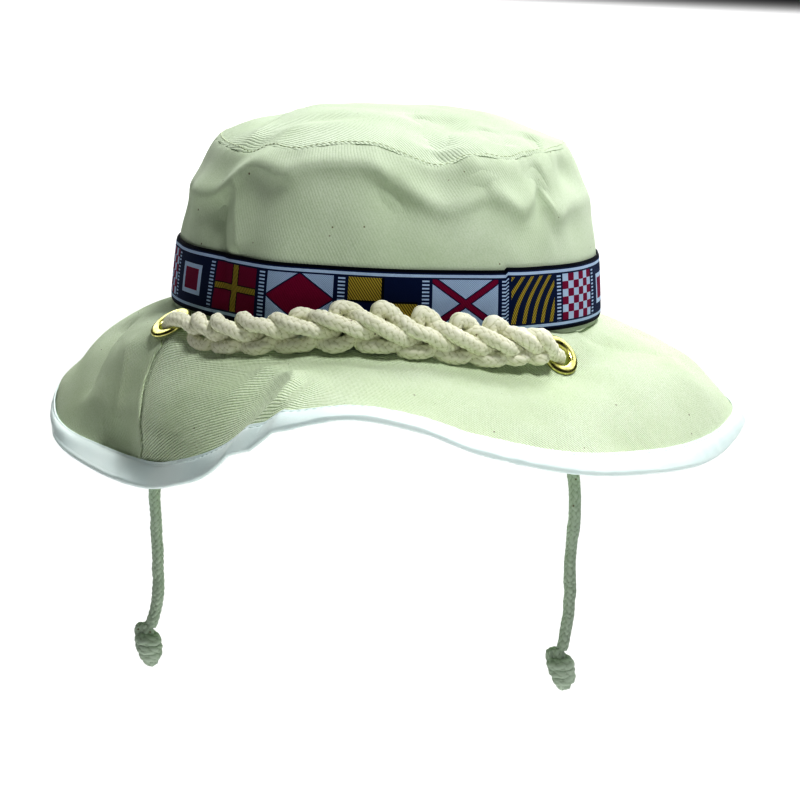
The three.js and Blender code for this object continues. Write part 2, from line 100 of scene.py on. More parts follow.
def smoothRun(places, values, at):
    # smooth curve through values at their places; values may hold a whole row for each place
    places = np.concatenate([places[:1], places, places[-1:]])
    values = np.concatenate([values[:1], values, values[-1:]])
    i = np.clip(np.searchsorted(places, at, side="right") - 1, 1, len(places) - 3)
    shape = (-1,) + (1,) * (values.ndim - 1)
    before, here, there, after = (places[i + k].reshape(shape) for k in (-1, 0, 1, 2))
    a, b, c, d = (values[i + k] for k in (-1, 0, 1, 2))
    span = there - here
    t = (np.asarray(at).reshape(shape) - here) / span
    slopeB = (c - a) / (there - before) * span
    slopeC = (d - b) / (after - here) * span
    return hermite(b, c, slopeB, slopeC, t)


def roundTable(rows, column, turns):
    # one column of a table whose first column is the turn, wrapped round the hat
    table = np.array(rows, float)
    places = np.concatenate([table[-2:, 0] - 360, table[:, 0], table[:3, 0] + 360])
    values = np.concatenate([table[-2:, column], table[:, column], table[:3, column]])
    start = table[0, 0]
    return smoothRun(places, values, start + (np.asarray(turns, float) - start) % 360)


def softNoise(x, y, seed, wrap=64):
    # smooth noise from -1 to 1 that repeats after wrap cells along x, and 64 along y
    cells = np.random.default_rng(seed).uniform(-1, 1, (wrap, 64))
    xi, yi = np.floor(x).astype(int), np.floor(y).astype(int)
    xf, yf = (f * f * (3 - 2 * f) for f in (x - xi, y - yi))
    corner = lambda a, b: cells[(xi + a) % wrap, (yi + b) % 64]
    low = corner(0, 0) * (1 - xf) + corner(1, 0) * xf
    high = corner(0, 1) * (1 - xf) + corner(1, 1) * xf
    return low * (1 - yf) + high * yf


def roundNoise(turns, cells, y, seed):
    # smooth noise with a whole number of cells round the hat
    return softNoise(turns / 360 % 1 * cells, y, seed, cells)


def foldAlong(x, y, path, rise, left, right, ends):
    # height of a fold whose crest follows a path; left and right say how far its two sides reach
    path = np.array(path, float)
    nearest, reach = np.full(np.shape(x), 1e9), np.full(np.shape(x), float(left))
    run, walked = np.zeros(np.shape(x)), 0.0
    for (x0, y0), (x1, y1) in zip(path[:-1], path[1:]):
        length = math.hypot(x1 - x0, y1 - y0)
        ux, uy = (x1 - x0) / length, (y1 - y0) / length
        along = np.clip((x - x0) * ux + (y - y0) * uy, 0, length)
        dx, dy = x - x0 - along * ux, y - y0 - along * uy
        distance = np.hypot(dx, dy)
        closer = distance < nearest
        nearest = np.where(closer, distance, nearest)
        reach = np.where(closer, np.where(ux * dy - uy * dx > 0, left, right), reach)
        run = np.where(closer, walked + along, run)
        walked += length
    taper = np.clip(run / ends, 0, 1) * np.clip((walked - run) / ends, 0, 1)
    crest = np.exp(0.17 - np.sqrt((nearest / reach) ** 2 + 0.03))
    return rise * taper * taper * (3 - 2 * taper) * crest


def foldsAlong(x, y, folds, asFlat=np.array, ends=7.0):
    # the folds of a table: path, rise, reach of the two sides; asFlat lays a path out in x and y
    return sum(foldAlong(x, y, asFlat(np.array(path, float)), *rest, ends) for path, *rest in folds)


def placed(turns, radius, height):
    angle = np.radians(turns)
    return np.stack(np.broadcast_arrays(radius * np.sin(angle), -radius * np.cos(angle), height), -1)


def plan(turns, radius):
    spots = placed(turns, radius, 0)
    return spots[..., 0], spots[..., 1]


def spotAt(turn, radius, height):
    return placed(np.array([turn]), radius, height)[0]


def walkAlong(line):
    # length walked at each point of a line
    return np.concatenate([[0], np.cumsum(np.linalg.norm(np.diff(line, axis=0), axis=1))])


def offsetLine(r, z, distance):
    # moves section lines (run along axis 0) to the left of their run
    dr, dz = np.gradient(r, axis=0), np.gradient(z, axis=0)
    length = np.hypot(dr, dz)
    return r - distance * dz / length, z + distance * dr / length


def smoothPath(points, spacing):
    # even steps along a centripetal curve through the points
    points = np.array(points, float)
    steps = np.linalg.norm(np.diff(points, axis=0), axis=1)
    knots = np.concatenate([[0], np.cumsum(np.sqrt(steps))])
    slopes = np.gradient(points, knots, axis=0)
    fine = np.linspace(0, knots[-1], 24 * len(points))
    i = np.clip(np.searchsorted(knots, fine, side="right") - 1, 0, len(knots) - 2)
    span = (knots[i + 1] - knots[i])[:, None]
    t = (fine - knots[i])[:, None] / span
    dense = hermite(points[i], points[i + 1], slopes[i] * span, slopes[i + 1] * span, t)
    walked = walkAlong(dense)
    even = np.linspace(0, walked[-1], max(2, int(round(walked[-1] / spacing)) + 1))
    return np.stack([np.interp(even, walked, dense[:, k]) for k in range(3)], 1)


def unit(vectors):
    return vectors / np.linalg.norm(vectors, axis=-1, keepdims=True)


def frames(line):
    # direction of a line at each point, and two square directions that turn with it
    ahead = unit(np.gradient(line, axis=0))
    side = np.empty_like(line)
    last = np.array([0.3, 0.2, 1.0])
    for i, direction in enumerate(ahead):
        last = last - direction * last.dot(direction)
        last /= np.linalg.norm(last)
        side[i] = last
    return ahead, side, np.cross(ahead, side)


# meshes and materials
def addPiece(name, points, faces, material, uv, node=None, sharp=50):
    # points in millimetres; uv has one pair for each face corner, in millimetres of cloth
    mesh = bpy.data.meshes.new(name)
    mesh.from_pydata((np.asarray(points) * mm).tolist(), [], faces)
    mesh.uv_layers.new(name="cloth").data.foreach_set("uv", np.asarray(uv, float).ravel())
    mesh.materials.append(material)
    mesh.shade_smooth()
    mesh.set_sharp_from_angle(angle=math.radians(sharp))
    piece = addObject(name, mesh)
    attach(piece, "root")
    if node:
        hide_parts(node)
    return piece


def gridFaces(rows, columns, closeRows=False, closeColumns=True):
    # quads of a grid of points, and the row and column of each corner before wrapping
    i, j = np.indices((rows - (not closeRows), columns - (not closeColumns))).reshape(2, -1)
    cornerRows = np.stack([i, i + 1, i + 1, i], 1)
    cornerColumns = np.stack([j, j, j + 1, j + 1], 1)
    return (cornerRows % rows) * columns + cornerColumns % columns, cornerRows, cornerColumns


def endFaces(rows, columns):
    # the two faces that close a tube
    return [list(range(columns))[::-1], [(rows - 1) * columns + k for k in range(columns)]]


def ringPiece(name, sections, uv, material, node, sharp=50):
    # sections: turns by points by xyz, closed both ways; uv has one more row and column
    faces, rows, columns = gridFaces(*sections.shape[:2], True)
    uv = uv[rows, columns]
    return addPiece(name, sections.reshape(-1, 3), faces.tolist(), material, uv, node, sharp)


def joined(lines, back):
    # section lines there and back again, each as (r, z)
    return [np.concatenate([a, b[::-1]]) for a, b in zip(lines, back)]


def roundPiece(name, r, z, uv, material, slot, node):
    # section lines run along axis 0, one for each turn round the hat
    return ringPiece(name, placed(turns, r, z).transpose(1, 0, 2), uv, material, node)


def nodeSum(operation):
    return lambda field, *others: field.nodes.math(operation, field, *others)


class Field:
    # a number that shader nodes work out; each sum on it adds a node
    def __init__(self, nodes, socket):
        self.nodes, self.socket = nodes, socket

    __add__, __sub__, __mul__, __truediv__ = map(nodeSum, ("ADD", "SUBTRACT", "MULTIPLY", "DIVIDE"))
    __mod__, __lt__, __gt__, __abs__ = map(nodeSum, ("MODULO", "LESS_THAN", "GREATER_THAN", "ABSOLUTE"))
    floor, fract, sine = map(nodeSum, ("FLOOR", "FRACT", "SINE"))


class Nodes:
    # short way to wire up a material
    def __init__(self, name):
        self.material = bpy.data.materials.new(name)
        self.material.use_nodes = True
        self.tree = self.material.node_tree
        self.shader = next(n for n in self.tree.nodes if n.type == "BSDF_PRINCIPLED")

    def node(self, kind, **settings):
        made = self.tree.nodes.new("ShaderNode" + kind)
        for key, value in settings.items():
            setattr(made, key, value)
        return made

    def wire(self, value, socket):
        value = value.socket if isinstance(value, Field) else value
        if isinstance(value, bpy.types.NodeSocket):
            self.tree.links.new(value, socket)
        else:
            socket.default_value = value

    def math(self, operation, *values):
        made = self.node("Math", operation=operation)
        for value, socket in zip(values, made.inputs):
            self.wire(value, socket)
        return Field(self, made.outputs[0])

    def mix(self, share, a, b):
        made = self.node("Mix", data_type="RGBA")
        for value, socket in ((share, made.inputs[0]), (a, made.inputs[6]), (b, made.inputs[7])):
            self.wire(value, socket)
        return made.outputs[2]

    def band(self, value, low, high):
        # 1 where low < value < high
        return (value > low) * (value < high)

    def ramp(self, value, low, high, lowTo=0.0, highTo=1.0, clamp=True):
        made = self.node("MapRange", clamp=clamp)
        for v, socket in zip((value, low, high, lowTo, highTo), made.inputs):
            self.wire(v, socket)
        return Field(self, made.outputs[0])

    def texture(self, kind, scale):
        made = self.node("Tex" + kind)
        made.inputs["Scale"].default_value = scale
        self.wire(self.node("TexCoord").outputs["Object"], made.inputs["Vector"])
        return made

    def noise(self, scale, detail=3, rough=0.5):
        made = self.texture("Noise", scale)
        made.inputs["Detail"].default_value = detail
        made.inputs["Roughness"].default_value = rough
        return Field(self, made.outputs["Fac"])

    def spots(self, scale):
        # distance to the nearest of many scattered spots, and two random numbers of that spot
        made = self.texture("Voronoi", scale)
        random = self.node("SeparateColor")
        self.wire(made.outputs["Color"], random.inputs[0])
        return [Field(self, k) for k in (made.outputs["Distance"], random.outputs[0], random.outputs[1])]

    def clothParts(self):
        uv = self.node("UVMap", uv_map="cloth")
        parts = self.node("SeparateXYZ")
        self.wire(uv.outputs[0], parts.inputs[0])
        return Field(self, parts.outputs[0]), Field(self, parts.outputs[1])

    def dress(self, colour, height, depth, strength, sockets):
        # height, depth and strength are those of the small relief; sockets are the shader's own
        bump = self.node("Bump")
        for name, value in (("Height", height), ("Distance", depth), ("Strength", strength)):
            self.wire(value, bump.inputs[name])
        for name, value in {"Base Color": colour, "Normal": bump.outputs[0], **sockets}.items():
            self.wire(value, self.shader.inputs[name])
        return self.material


# widths of the twill's lines and of one float of the yarn, in millimetres, and the flecks' colour
twill = {"wale": 1.22, "float": 2.1, "fleck": (0.13, 0.08, 0.03, 1)}


def canvasMaterial(name, depth, shade, light, dark):
    m = Nodes(name)
    along, across = m.clothParts()   # the twill lines run along the first one
    line = across / twill["wale"] + (m.noise(150, 2) - 0.5) * 0.35
    wale = abs((line * math.pi).sine())
    yarn = ((along / twill["float"] + line.floor() * 0.37) * (2 * math.pi)).sine()
    grain = m.noise(1500)
    colour = m.mix(m.ramp(m.noise(28), 0.3, 0.7) * 0.35, light, dark)
    # painted shade: the colour darkens towards dark in the twill's grooves between the wales, as far as shade
    # says
    colour = m.mix(m.ramp(wale, 0.0, 0.6, shade, 0.0), colour, dark)
    colour = m.mix(m.ramp(grain, 0.42, 0.66, 0.0, 0.35), colour, dark)
    distance, chance, width = m.spots(125)
    fleck = (distance < m.ramp(width, 0, 1, 0.018, 0.058)) * (chance < 0.85)
    colour = m.mix(fleck * 0.75, colour, twill["fleck"])
    return m.dress(colour, wale + yarn * 0.12 + grain * 0.7, depth, 0.9, {
        "Roughness": 0.92, "Specular IOR Level": 0.2, "Sheen Weight": 0.08, "Sheen Roughness": 0.5})


def plainClothMaterial(name, rough, rib, depth, colour, dark):
    # smooth cloth with a fine weave, one rib wide
    m = Nodes(name)
    along, across = m.clothParts()
    weave = (along * (2 * math.pi / rib)).sine() + (across * (2 * math.pi / (rib * 0.9))).sine()
    colour = m.mix(m.ramp(m.noise(45), 0.3, 0.75), colour, dark)
    return m.dress(colour, weave * 0.25 + m.noise(1500, 2), depth, 0.7, {
        "Roughness": rough, "Sheen Weight": 0.1})


def cordMaterial(name, light, worn, gapShade):
    m = Nodes(name)
    plait = m.clothParts()[1]   # the plait's height from 0 to 1
    colour = m.mix(m.ramp(m.noise(130), 0.3, 0.7) * 0.5, light, worn)
    # painted shade between the yarns: where the plait is low the colour darkens towards the third colour
    colour = m.mix(m.ramp(plait, 0.05, 0.6, 0.75, 0.0), colour, gapShade)
    distance, chance, _ = m.spots(210)
    colour = m.mix((distance < 0.09) * (chance < 0.3) * 0.6, colour, (0.16, 0.10, 0.04, 1))
    return m.dress(colour, m.noise(2600, 3, 0.6), 0.0003, 0.7, {
        "Roughness": 0.95, "Specular IOR Level": 0.15, "Sheen Weight": 0.12})


def brassMaterial():
    m = Nodes("polished brass")
    worn = m.ramp(m.noise(420, 4), 0.35, 0.75)
    colour = m.mix(worn, (0.72, 0.71, 0.33, 1), (0.50, 0.49, 0.19, 1))
    return m.dress(colour, m.noise(900), 0.00003, 0.5, {
        "Metallic": 1.0, "Roughness": m.ramp(worn, 0, 1, 0.24, 0.42)})


# one canvas in three copies: the brim's is painted lighter, as painted light on its top, and the crown wall's
# and the tip's are darker, as painted shade
brimCanvasPaintedLight = canvasMaterial(
    "canvas twill of the brim, painted light", 0.0004, 0.7, (0.80, 0.885, 0.73, 1), (0.56, 0.69, 0.42, 1))
crownCanvasPaintedShade = canvasMaterial(
    "canvas twill of the crown, painted shade", 0.00006, 0.09, (0.67, 0.75, 0.61, 1), (0.48, 0.59, 0.39, 1))
tipCanvasPaintedShade = canvasMaterial(
    "canvas twill of the tip, painted shade", 0.0002, 0.3, (0.65, 0.725, 0.60, 1), (0.45, 0.56, 0.36, 1))
bindingCloth = plainClothMaterial(
    "white binding", 0.4, 0.5, 0.00004, (0.82, 0.93, 0.90, 1), (0.75, 0.88, 0.86, 1))
thread = plainClothMaterial(
    "sewing thread", 0.7, 0.3, 0.00003, (0.66, 0.73, 0.55, 1), (0.56, 0.63, 0.43, 1))
cotton = cordMaterial(
    "cotton cord", (0.96, 0.97, 0.82, 1), (0.87, 0.88, 0.68, 1), (0.44, 0.46, 0.22, 1))
# painted shade: the ties' copy of the same cotton cord is darker and greener, for the shade under the brim
tieCottonPaintedShade = cordMaterial(
    "cotton cord of the ties, painted shade", (0.57, 0.66, 0.55, 1), (0.47, 0.56, 0.45, 1), (0.20, 0.27, 0.16, 1))
brass = brassMaterial()
print("hat: materials ready")

# the two ties, first of all the pieces
cord = {
    "diameter": 4.8,
    "carriers": 6,       # yarns of the plait that lean each way
    "pitch": 15.0,       # one yarn's way round the cord
    "relief": 0.52,
    "sides": 44,
    "step": 0.42,
    "leftRoute": (
        (-77.35, -66.05, -9.85), (-76.85, -65.65, -13.8), (-77, -66, -19), (-77.9, -66.9, -27),
        (-79, -68, -36), (-80.1, -69.1, -45.5), (-80.8, -70, -55), (-81, -70.7, -64), (-80.6, -71, -73),
        (-79.9, -71, -82), (-79.2, -71, -91), (-78.6, -71, -99.5), (-78.2, -71, -107.5),
        (-78.5, -71, -114.5), (-79.6, -71, -120.3), (-81, -71, -125),
    ),
    "rightRoute": (
        (76.88, -62.26, -13.48), (76.05, -61.6, -17.3), (75.9, -61.7, -22.3), (77.2, -62.8, -28),
        (79.8, -64.7, -34.5), (82.6, -66.8, -41), (85, -68.7, -48), (86.6, -70.1, -55.5),
        (87.2, -70.8, -63.5), (87.2, -71, -72), (86.8, -71, -80.5), (86.6, -71, -88.5), (87, -71, -96),
        (87.2, -71, -103.5), (86.9, -71, -111), (86.1, -71, -117), (85.2, -71, -122),
    ),
    # a knot: how far below the tie's end its turns start and stop, their number, cord radius along it
    "knotFoot": 13.0, "knotTop": 4.4, "wraps": 3.3, "knotRadii": (2.35, 2.75, 2.9, 2.2),
    # side, lean of the knot, random seed
    "ties": (("Left", 1.6, 11), ("Right", 1.4, 21)),
}


def plaitHeight(around, along):
    # height from 0 to 1 of a round plait, each yarn over two and under two
    n = cord["carriers"]
    a, b = n * (around + along / cord["pitch"]), n * (around - along / cord["pitch"])
    i, j = np.floor(a), np.floor(b)
    fa, fb = a - i, b - j
    which = (i + j) % 4
    leans = which < 2
    cross = np.where(leans, fa, fb) * 2 - 1
    run = np.where(leans, which + fb, which - 2 + fa) / 2
    return np.sqrt(np.clip(1 - (0.92 * cross) ** 2, 0, 1)) * np.sin(math.pi * np.clip(run, 0.02, 0.98)) ** 0.4


def plaitedCord(name, line, radius, seed, material, node):
    # line: points in millimetres; radius: one for all the points or one for each
    ahead, side, other = frames(line)
    around, along = np.meshgrid(np.arange(cord["sides"]) / cord["sides"], walkAlong(line))
    uneven = softNoise(along / 2.6, around * 5, seed) * 0.8
    height = plaitHeight(around + uneven * 0.02, along + uneven)
    lump = softNoise(along / 4.2, around * 4 + 7, seed + 1) * 0.26
    reach = (np.reshape(radius, (-1, 1)) + cord["relief"] * (height - 0.75) + lump)[..., None]
    angle = 2 * math.pi * around[..., None]
    points = line[:, None] + reach * (np.cos(angle) * side[:, None] + np.sin(angle) * other[:, None])
    rows, columns = points.shape[:2]
    faces, i, j = gridFaces(rows, columns)
    j = j % columns
    uv = np.stack([along[i, j], height[i, j]], -1).reshape(-1, 2)
    uvEnds = np.full((2 * columns, 2), 0.6)
    return addPiece(name, points.reshape(-1, 3), faces.tolist() + endFaces(rows, columns), material,
                    np.concatenate([uv, uvEnds]), node, 80)


def knotLine(route, lean):
    # barrel knot: down the middle, back up at the foot, round the cord and tucked in at the top
    end, before = np.array(route[-1], float), np.array(route[-2], float)
    down = unit(end - before)
    side = unit(np.array([1.0, 0.0, 0.0]) - down * down[0])
    front = np.cross(side, down)
    foot, top, wraps = cord["knotFoot"], cord["knotTop"], cord["wraps"]
    points = [(0, 0.2, 0), (0, 3.5, -0.2), (0, 8, -0.2), (-0.4, 12.4, -0.8), (0.4, 13.6, 0.6)]
    for share in np.linspace(0, 1, int(wraps * 8) + 1):
        angle = 2 * math.pi * wraps * share + 0.9
        wide = 0.9 + 2.0 * math.sin(math.pi * min(1, share * 2) / 2)
        points.append((wide * math.cos(angle), foot + (top - foot) * share ** 0.9, wide * math.sin(angle)))
    points += [(-2.6, 3.2, 1.5), (-1.6, 2.6, -1.4)]
    return [end + side * (x + lean * (y - 4) * 0.3) + down * y + front * z for x, y, z in points]


ties = {}
for sideName, lean, seed in cord["ties"]:
    low = sideName.lower()
    route = cord[low + "Route"]
    line = smoothPath(route, cord["step"])
    tie = plaitedCord("tie" + sideName, line, cord["diameter"] / 2, seed, tieCottonPaintedShade, "cord_" + low)
    knotPath = smoothPath(knotLine(route, lean), cord["step"])
    count = len(knotPath)
    radii = np.interp(np.arange(count), [0, 8, count - 8, count - 1], cord["knotRadii"])
    knot = plaitedCord("knot" + sideName, knotPath, radii, seed + 2, tieCottonPaintedShade, "knot_" + low)
    length = float(walkAlong(line)[-1]) * mm
    ties[sideName] = length
print("hat: ties of", {k: round(v, 4) for k, v in ties.items()}, "m")

# head opening, shared by crown and brim
head = {
    "halfWidth": 88, "halfFront": 95, "halfBack": 99,
    "corners": ((-20, 9, 3.6), (37, 9, 2.2), (150, 22, 1.5)),   # turn, spread, how far it stands proud
    "gap": 0.3,          # between one sewn piece and the next
    "flat": 93,          # mean radius, for laying the brim out flat
}
# closer together over the front half, where the cloth has its folds
turns = np.concatenate([np.arange(-180, -102, 1.25), np.arange(-102, 100, 0.46), np.arange(100, 180, 1.25)])


def headRadius(turns):
    angle = np.radians(turns)
    along = np.cos(angle) / np.where(np.cos(angle) > 0, head["halfFront"], head["halfBack"])
    radius = 1 / np.hypot(np.sin(angle) / head["halfWidth"], along)
    for turn, spread, out in head["corners"]:
        radius = radius + out * bell(turnGap(turns, turn), spread)
    return radius


# crown
crown = {
    "cloth": 1.6, "seamHeight": 70.5, "lean": 9.6, "leanPower": 1.7, "shoulder": 6.2,
    "tipRise": 13.8, "tipFullness": 2.9, "tipTilt": 0.02,
    # turn, lift of the tip seam, fall of the shoulder below it
    "tipSeam": (
        (-180, 0, 26), (-120, 0.5, 30), (-77, -1.5, 26), (-50, -3.5, 21), (-40, -4.5, 10), (-31, -0.5, 8),
        (-20, -0.6, 12), (-10, 2.2, 9), (2, 3, 9), (10, -0.2, 10), (20, -4.6, 18), (31, 0.2, 9),
        (44, -1.6, 19), (54, 0, 13), (63, 0.5, 25), (90, 1.2, 28), (130, 0.5, 28),
    ),
    # turn, height, spread round, spread up, depth
    "dents": (
        (-43, 42, 6, 17, 2.6), (-56, 50, 6, 13, -2), (-22, 48, 10, 12, 1.8), (9, 52, 9, 10, 1.4),
        (33, 52, 5, 9, 2.2), (53, 56, 4, 12, 2.2), (74, 62, 7, 7, 3), (120, 44, 14, 14, 2.2),
        (-128, 50, 12, 14, 2.4), (178, 40, 14, 16, 1.8),
    ),
    # x, y, spread along x, spread along y, depth
    "tipDents": (
        (27, -34, 9, 14, 3.2), (44, -20, 10, 12, 1.8), (-46, -18, 9, 24, 3), (-22, -42, 14, 9, 1.4),
        (8, 34, 20, 12, 2.2), (60, 10, 9, 16, 2),
    ),
    # turn and height of the line where the wall's shoulder bends over into the light
    "bend": (
        (-180, 48), (-120, 46), (-75, 50), (-47.5, 50.5), (-39, 58), (-31, 65), (-19, 63), (-14.5, 66),
        (-5, 67), (3, 66), (8, 60.5), (15, 55), (21, 51.5), (26.5, 53), (33.5, 57), (37.5, 54.5),
        (43.5, 51), (49, 55), (53.5, 58), (58, 48), (65, 50), (83, 52), (120, 47),
    ),
    # height above that line, rise, spread
    "bendRelief": ((0, 1.5, 4), (9, -1.4, 6), (-9, -1.1, 7)),
    "turnSize": 1.6,     # millimetres of cloth in a degree of turn
    # folds of the wall: path by turn and height, rise, reach of the left and right side
    "wallFolds": (
        (((-46, 50), (-44, 41), (-39.5, 32), (-37, 24), (-36, 8)), -1.9, 5.5, 5.5),
        (((-39, 60), (-36.5, 48), (-34, 38), (-32, 26)), 2.0, 4.5, 9),
        (((53, 68), (53.5, 60), (54.5, 50)), -2.4, 4, 4),
        (((32, 68), (32.5, 60), (33, 53)), -2.0, 4, 5),
        (((9, 66), (8, 58), (4, 50)), -0.8, 5, 7),
    ),
    # folds of the tip: path in plan, rise, reach of the left and right side
    "tipFolds": (
        (((-38, 4), (-43, -14), (-47, -36), (-53, -54)), 1.9, 8, 5),
        (((12, -26), (20, -42), (25, -56), (26, -66)), -3.0, 7, 5),
        (((22, -65), (29, -70), (37, -68.5), (47, -61)), -2.1, 3.5, 2.5),
        (((38, -24), (44, -34), (50, -46)), -2.6, 6, 4),
        (((56, -14), (61, -24), (66, -35)), -3.2, 3, 3.5),
        (((68, -34), (71, -24), (73, -10)), -1.0, 3, 3),
    ),
    # degrees that the twill lines stand up from level on the wall, and lean in plan on the tip
    "twillLean": 60, "tipTwillLean": -42,
    "stitchIn": 1.6, "stitch": (2.5, 1.9, 0.42),   # distance from the seam; step, length and width
    "levels": 104,
}


def tipSeamHeight(turns):
    return crown["seamHeight"] + roundTable(crown["tipSeam"], 1, turns)


def wallRadius(turns, z):
    top = tipSeamHeight(turns)
    fall = roundTable(crown["tipSeam"], 2, turns)
    rounding = np.maximum(0, (z - top + fall) / fall)
    inset = crown["lean"] * np.maximum(0, z / crown["seamHeight"]) ** crown["leanPower"]
    inset = inset + crown["shoulder"] * rounding ** 2
    for turn, height, turnSpread, heightSpread, depth in crown["dents"]:
        inset = inset + depth * bell(turnGap(turns, turn), turnSpread) * bell(z - height, heightSpread)
    return headRadius(turns) - inset


def wallRelief(turns, z):
    # unevenness of the sewn cloth, outwards
    belowSeam = np.maximum(0, tipSeamHeight(turns) - z)
    pucker = roundNoise(turns, 150, z / 14, 3) * 0.32 * np.exp(-belowSeam / 6)
    soft = roundNoise(turns, 42, z / 22, 4) * 0.8 * bell(z - 48, 26)
    above = z - roundTable(crown["bend"], 1, turns)
    bend = sum(rise * bell(above - middle, spread) for middle, rise, spread in crown["bendRelief"])
    bend = bend * (0.2 + 0.8 / (1 + (turnGap(turns, 0) / 72) ** 8))
    size = crown["turnSize"]
    folds = foldsAlong(turns * size + 0 * z, z, crown["wallFolds"], lambda path: path * (size, 1))
    inside = 1 - np.exp(-belowSeam / 2.5)
    rolled = -0.55 * np.exp(-belowSeam / 0.9)
    backSeam = -0.7 * bell(turnGap(turns, 180) * 1.7, 1.3)
    return pucker + soft + (bend + folds) * inside + rolled + backSeam


def wallLines(turns, levels, relief=True):
    bottom, top = head["gap"], tipSeamHeight(turns)
    z = bottom + levels[:, None] * (top - bottom)
    return wallRadius(turns, z) + (wallRelief(turns, z) if relief else 0), z


def clothUv(along, up, lean):
    # turns flat cloth coordinates so that the first one runs along the twill lines
    c, s = np.cos(np.radians(lean)), np.sin(np.radians(lean))
    return np.stack([along * c + up * s, up * c - along * s], -1)


def roundLength(turns, radius):
    # length walked round the hat at each turn, with the closing step
    x, y = plan(turns, radius)
    return np.concatenate([[0], np.cumsum(np.hypot(np.roll(x, -1) - x, np.roll(y, -1) - y))])


def makeCrownWall():
    levels = 1 - (1 - np.linspace(0, 1, crown["levels"])) ** 1.15
    inside = offsetLine(*wallLines(turns, np.linspace(0, 1, 20), False), crown["cloth"])
    r, z = joined(wallLines(turns, levels), inside)
    walked = roundLength(turns, headRadius(turns))[:, None]
    uv = clothUv(walked, np.pad(z, ((0, 1), (0, 1)), mode="wrap").T, -crown["twillLean"])
    roundPiece("crownWall", r, z, uv, crownCanvasPaintedShade, "canvas", "crown_side")


def tipHeight(x, y, share, lift):
    z = crown["seamHeight"] + crown["tipRise"] * (1 - share ** crown["tipFullness"])
    z = z + crown["tipTilt"] * x * (1 - share ** 2) + lift * share ** 3
    for dentX, dentY, spreadX, spreadY, depth in crown["tipDents"]:
        z = z - depth * bell(x - dentX, spreadX) * bell(y - dentY, spreadY) * (1 - share ** 8)
    return z


def tipRelief(x, y, share):
    pucker = roundNoise(np.degrees(np.arctan2(x, -y)), 140, share * 9, 5) * 0.3
    soft = softNoise(x / 17 + 9, y / 13 + 9, 6) * 0.9
    folds = foldsAlong(x, y, crown["tipFolds"])
    return pucker * share ** 14 + soft * (1 - share ** 6) + folds * (1 - share ** 24)


def tipRim(turns):
    # edge of the tip: the wall's top edge, one gap further along the wall's run
    levels = np.array([0, 0.2, 0.4, 0.58, 0.74, 0.88, 1])
    r, z = wallLines(turns, levels, False)
    inR, inZ = offsetLine(r, z, crown["cloth"])
    length = np.hypot(r[-1] - r[-2], z[-1] - z[-2])
    dr, dz = (r[-1] - r[-2]) * head["gap"] / length, (z[-1] - z[-2]) * head["gap"] / length
    return r[-1] + dr, z[-1] + dz, inR[-1] + dr, inZ[-1] + dz


def makeCrownTip():
    rimR, rimZ, insideR, insideZ = tipRim(turns)
    lift = rimZ - crown["seamHeight"]
    share = np.concatenate([1 - np.linspace(0, 1, 26) ** 1.3 * 0.28, np.linspace(0.70, 0.03, 44)])[:, None]
    x, y = plan(turns, rimR * share)
    rolled = -0.5 * np.exp(-(1 - share) * rimR / 0.8)
    z = tipHeight(x, y, share, lift) + tipRelief(x, y, share) + rolled
    coarse = np.array([0.96, 0.88, 0.8, 0.7, 0.6, 0.5, 0.4, 0.3, 0.2, 0.1, 0.03])[:, None]
    underZ = tipHeight(*plan(turns, rimR * coarse), coarse, lift) - crown["cloth"]
    rowsR = np.concatenate([(insideR * coarse)[::-1], insideR[None], rimR * share])
    rowsZ = np.concatenate([underZ[::-1], insideZ[None], z])
    points = placed(turns, rowsR, rowsZ)
    count, columns = points.shape[:2]
    faces = gridFaces(count, columns)[0][:, ::-1].tolist()
    # a fan of triangles closes the middle of each side
    middles = [[0, 0, points[k, :, 2].mean()] for k in (0, -1)]
    flat = np.concatenate([points.reshape(-1, 3), middles])
    low, last = count * columns, (count - 1) * columns
    for k in range(columns):
        n = (k + 1) % columns
        faces += [[low, n, k], [low + 1, last + k, last + n]]
    corners = np.concatenate(faces)
    uv = clothUv(flat[corners, 0], flat[corners, 1], crown["tipTwillLean"])
    addPiece("crownTip", flat, faces, tipCanvasPaintedShade, uv, "crown_top")


makeCrownWall()
makeCrownTip()
print("hat: crown made")

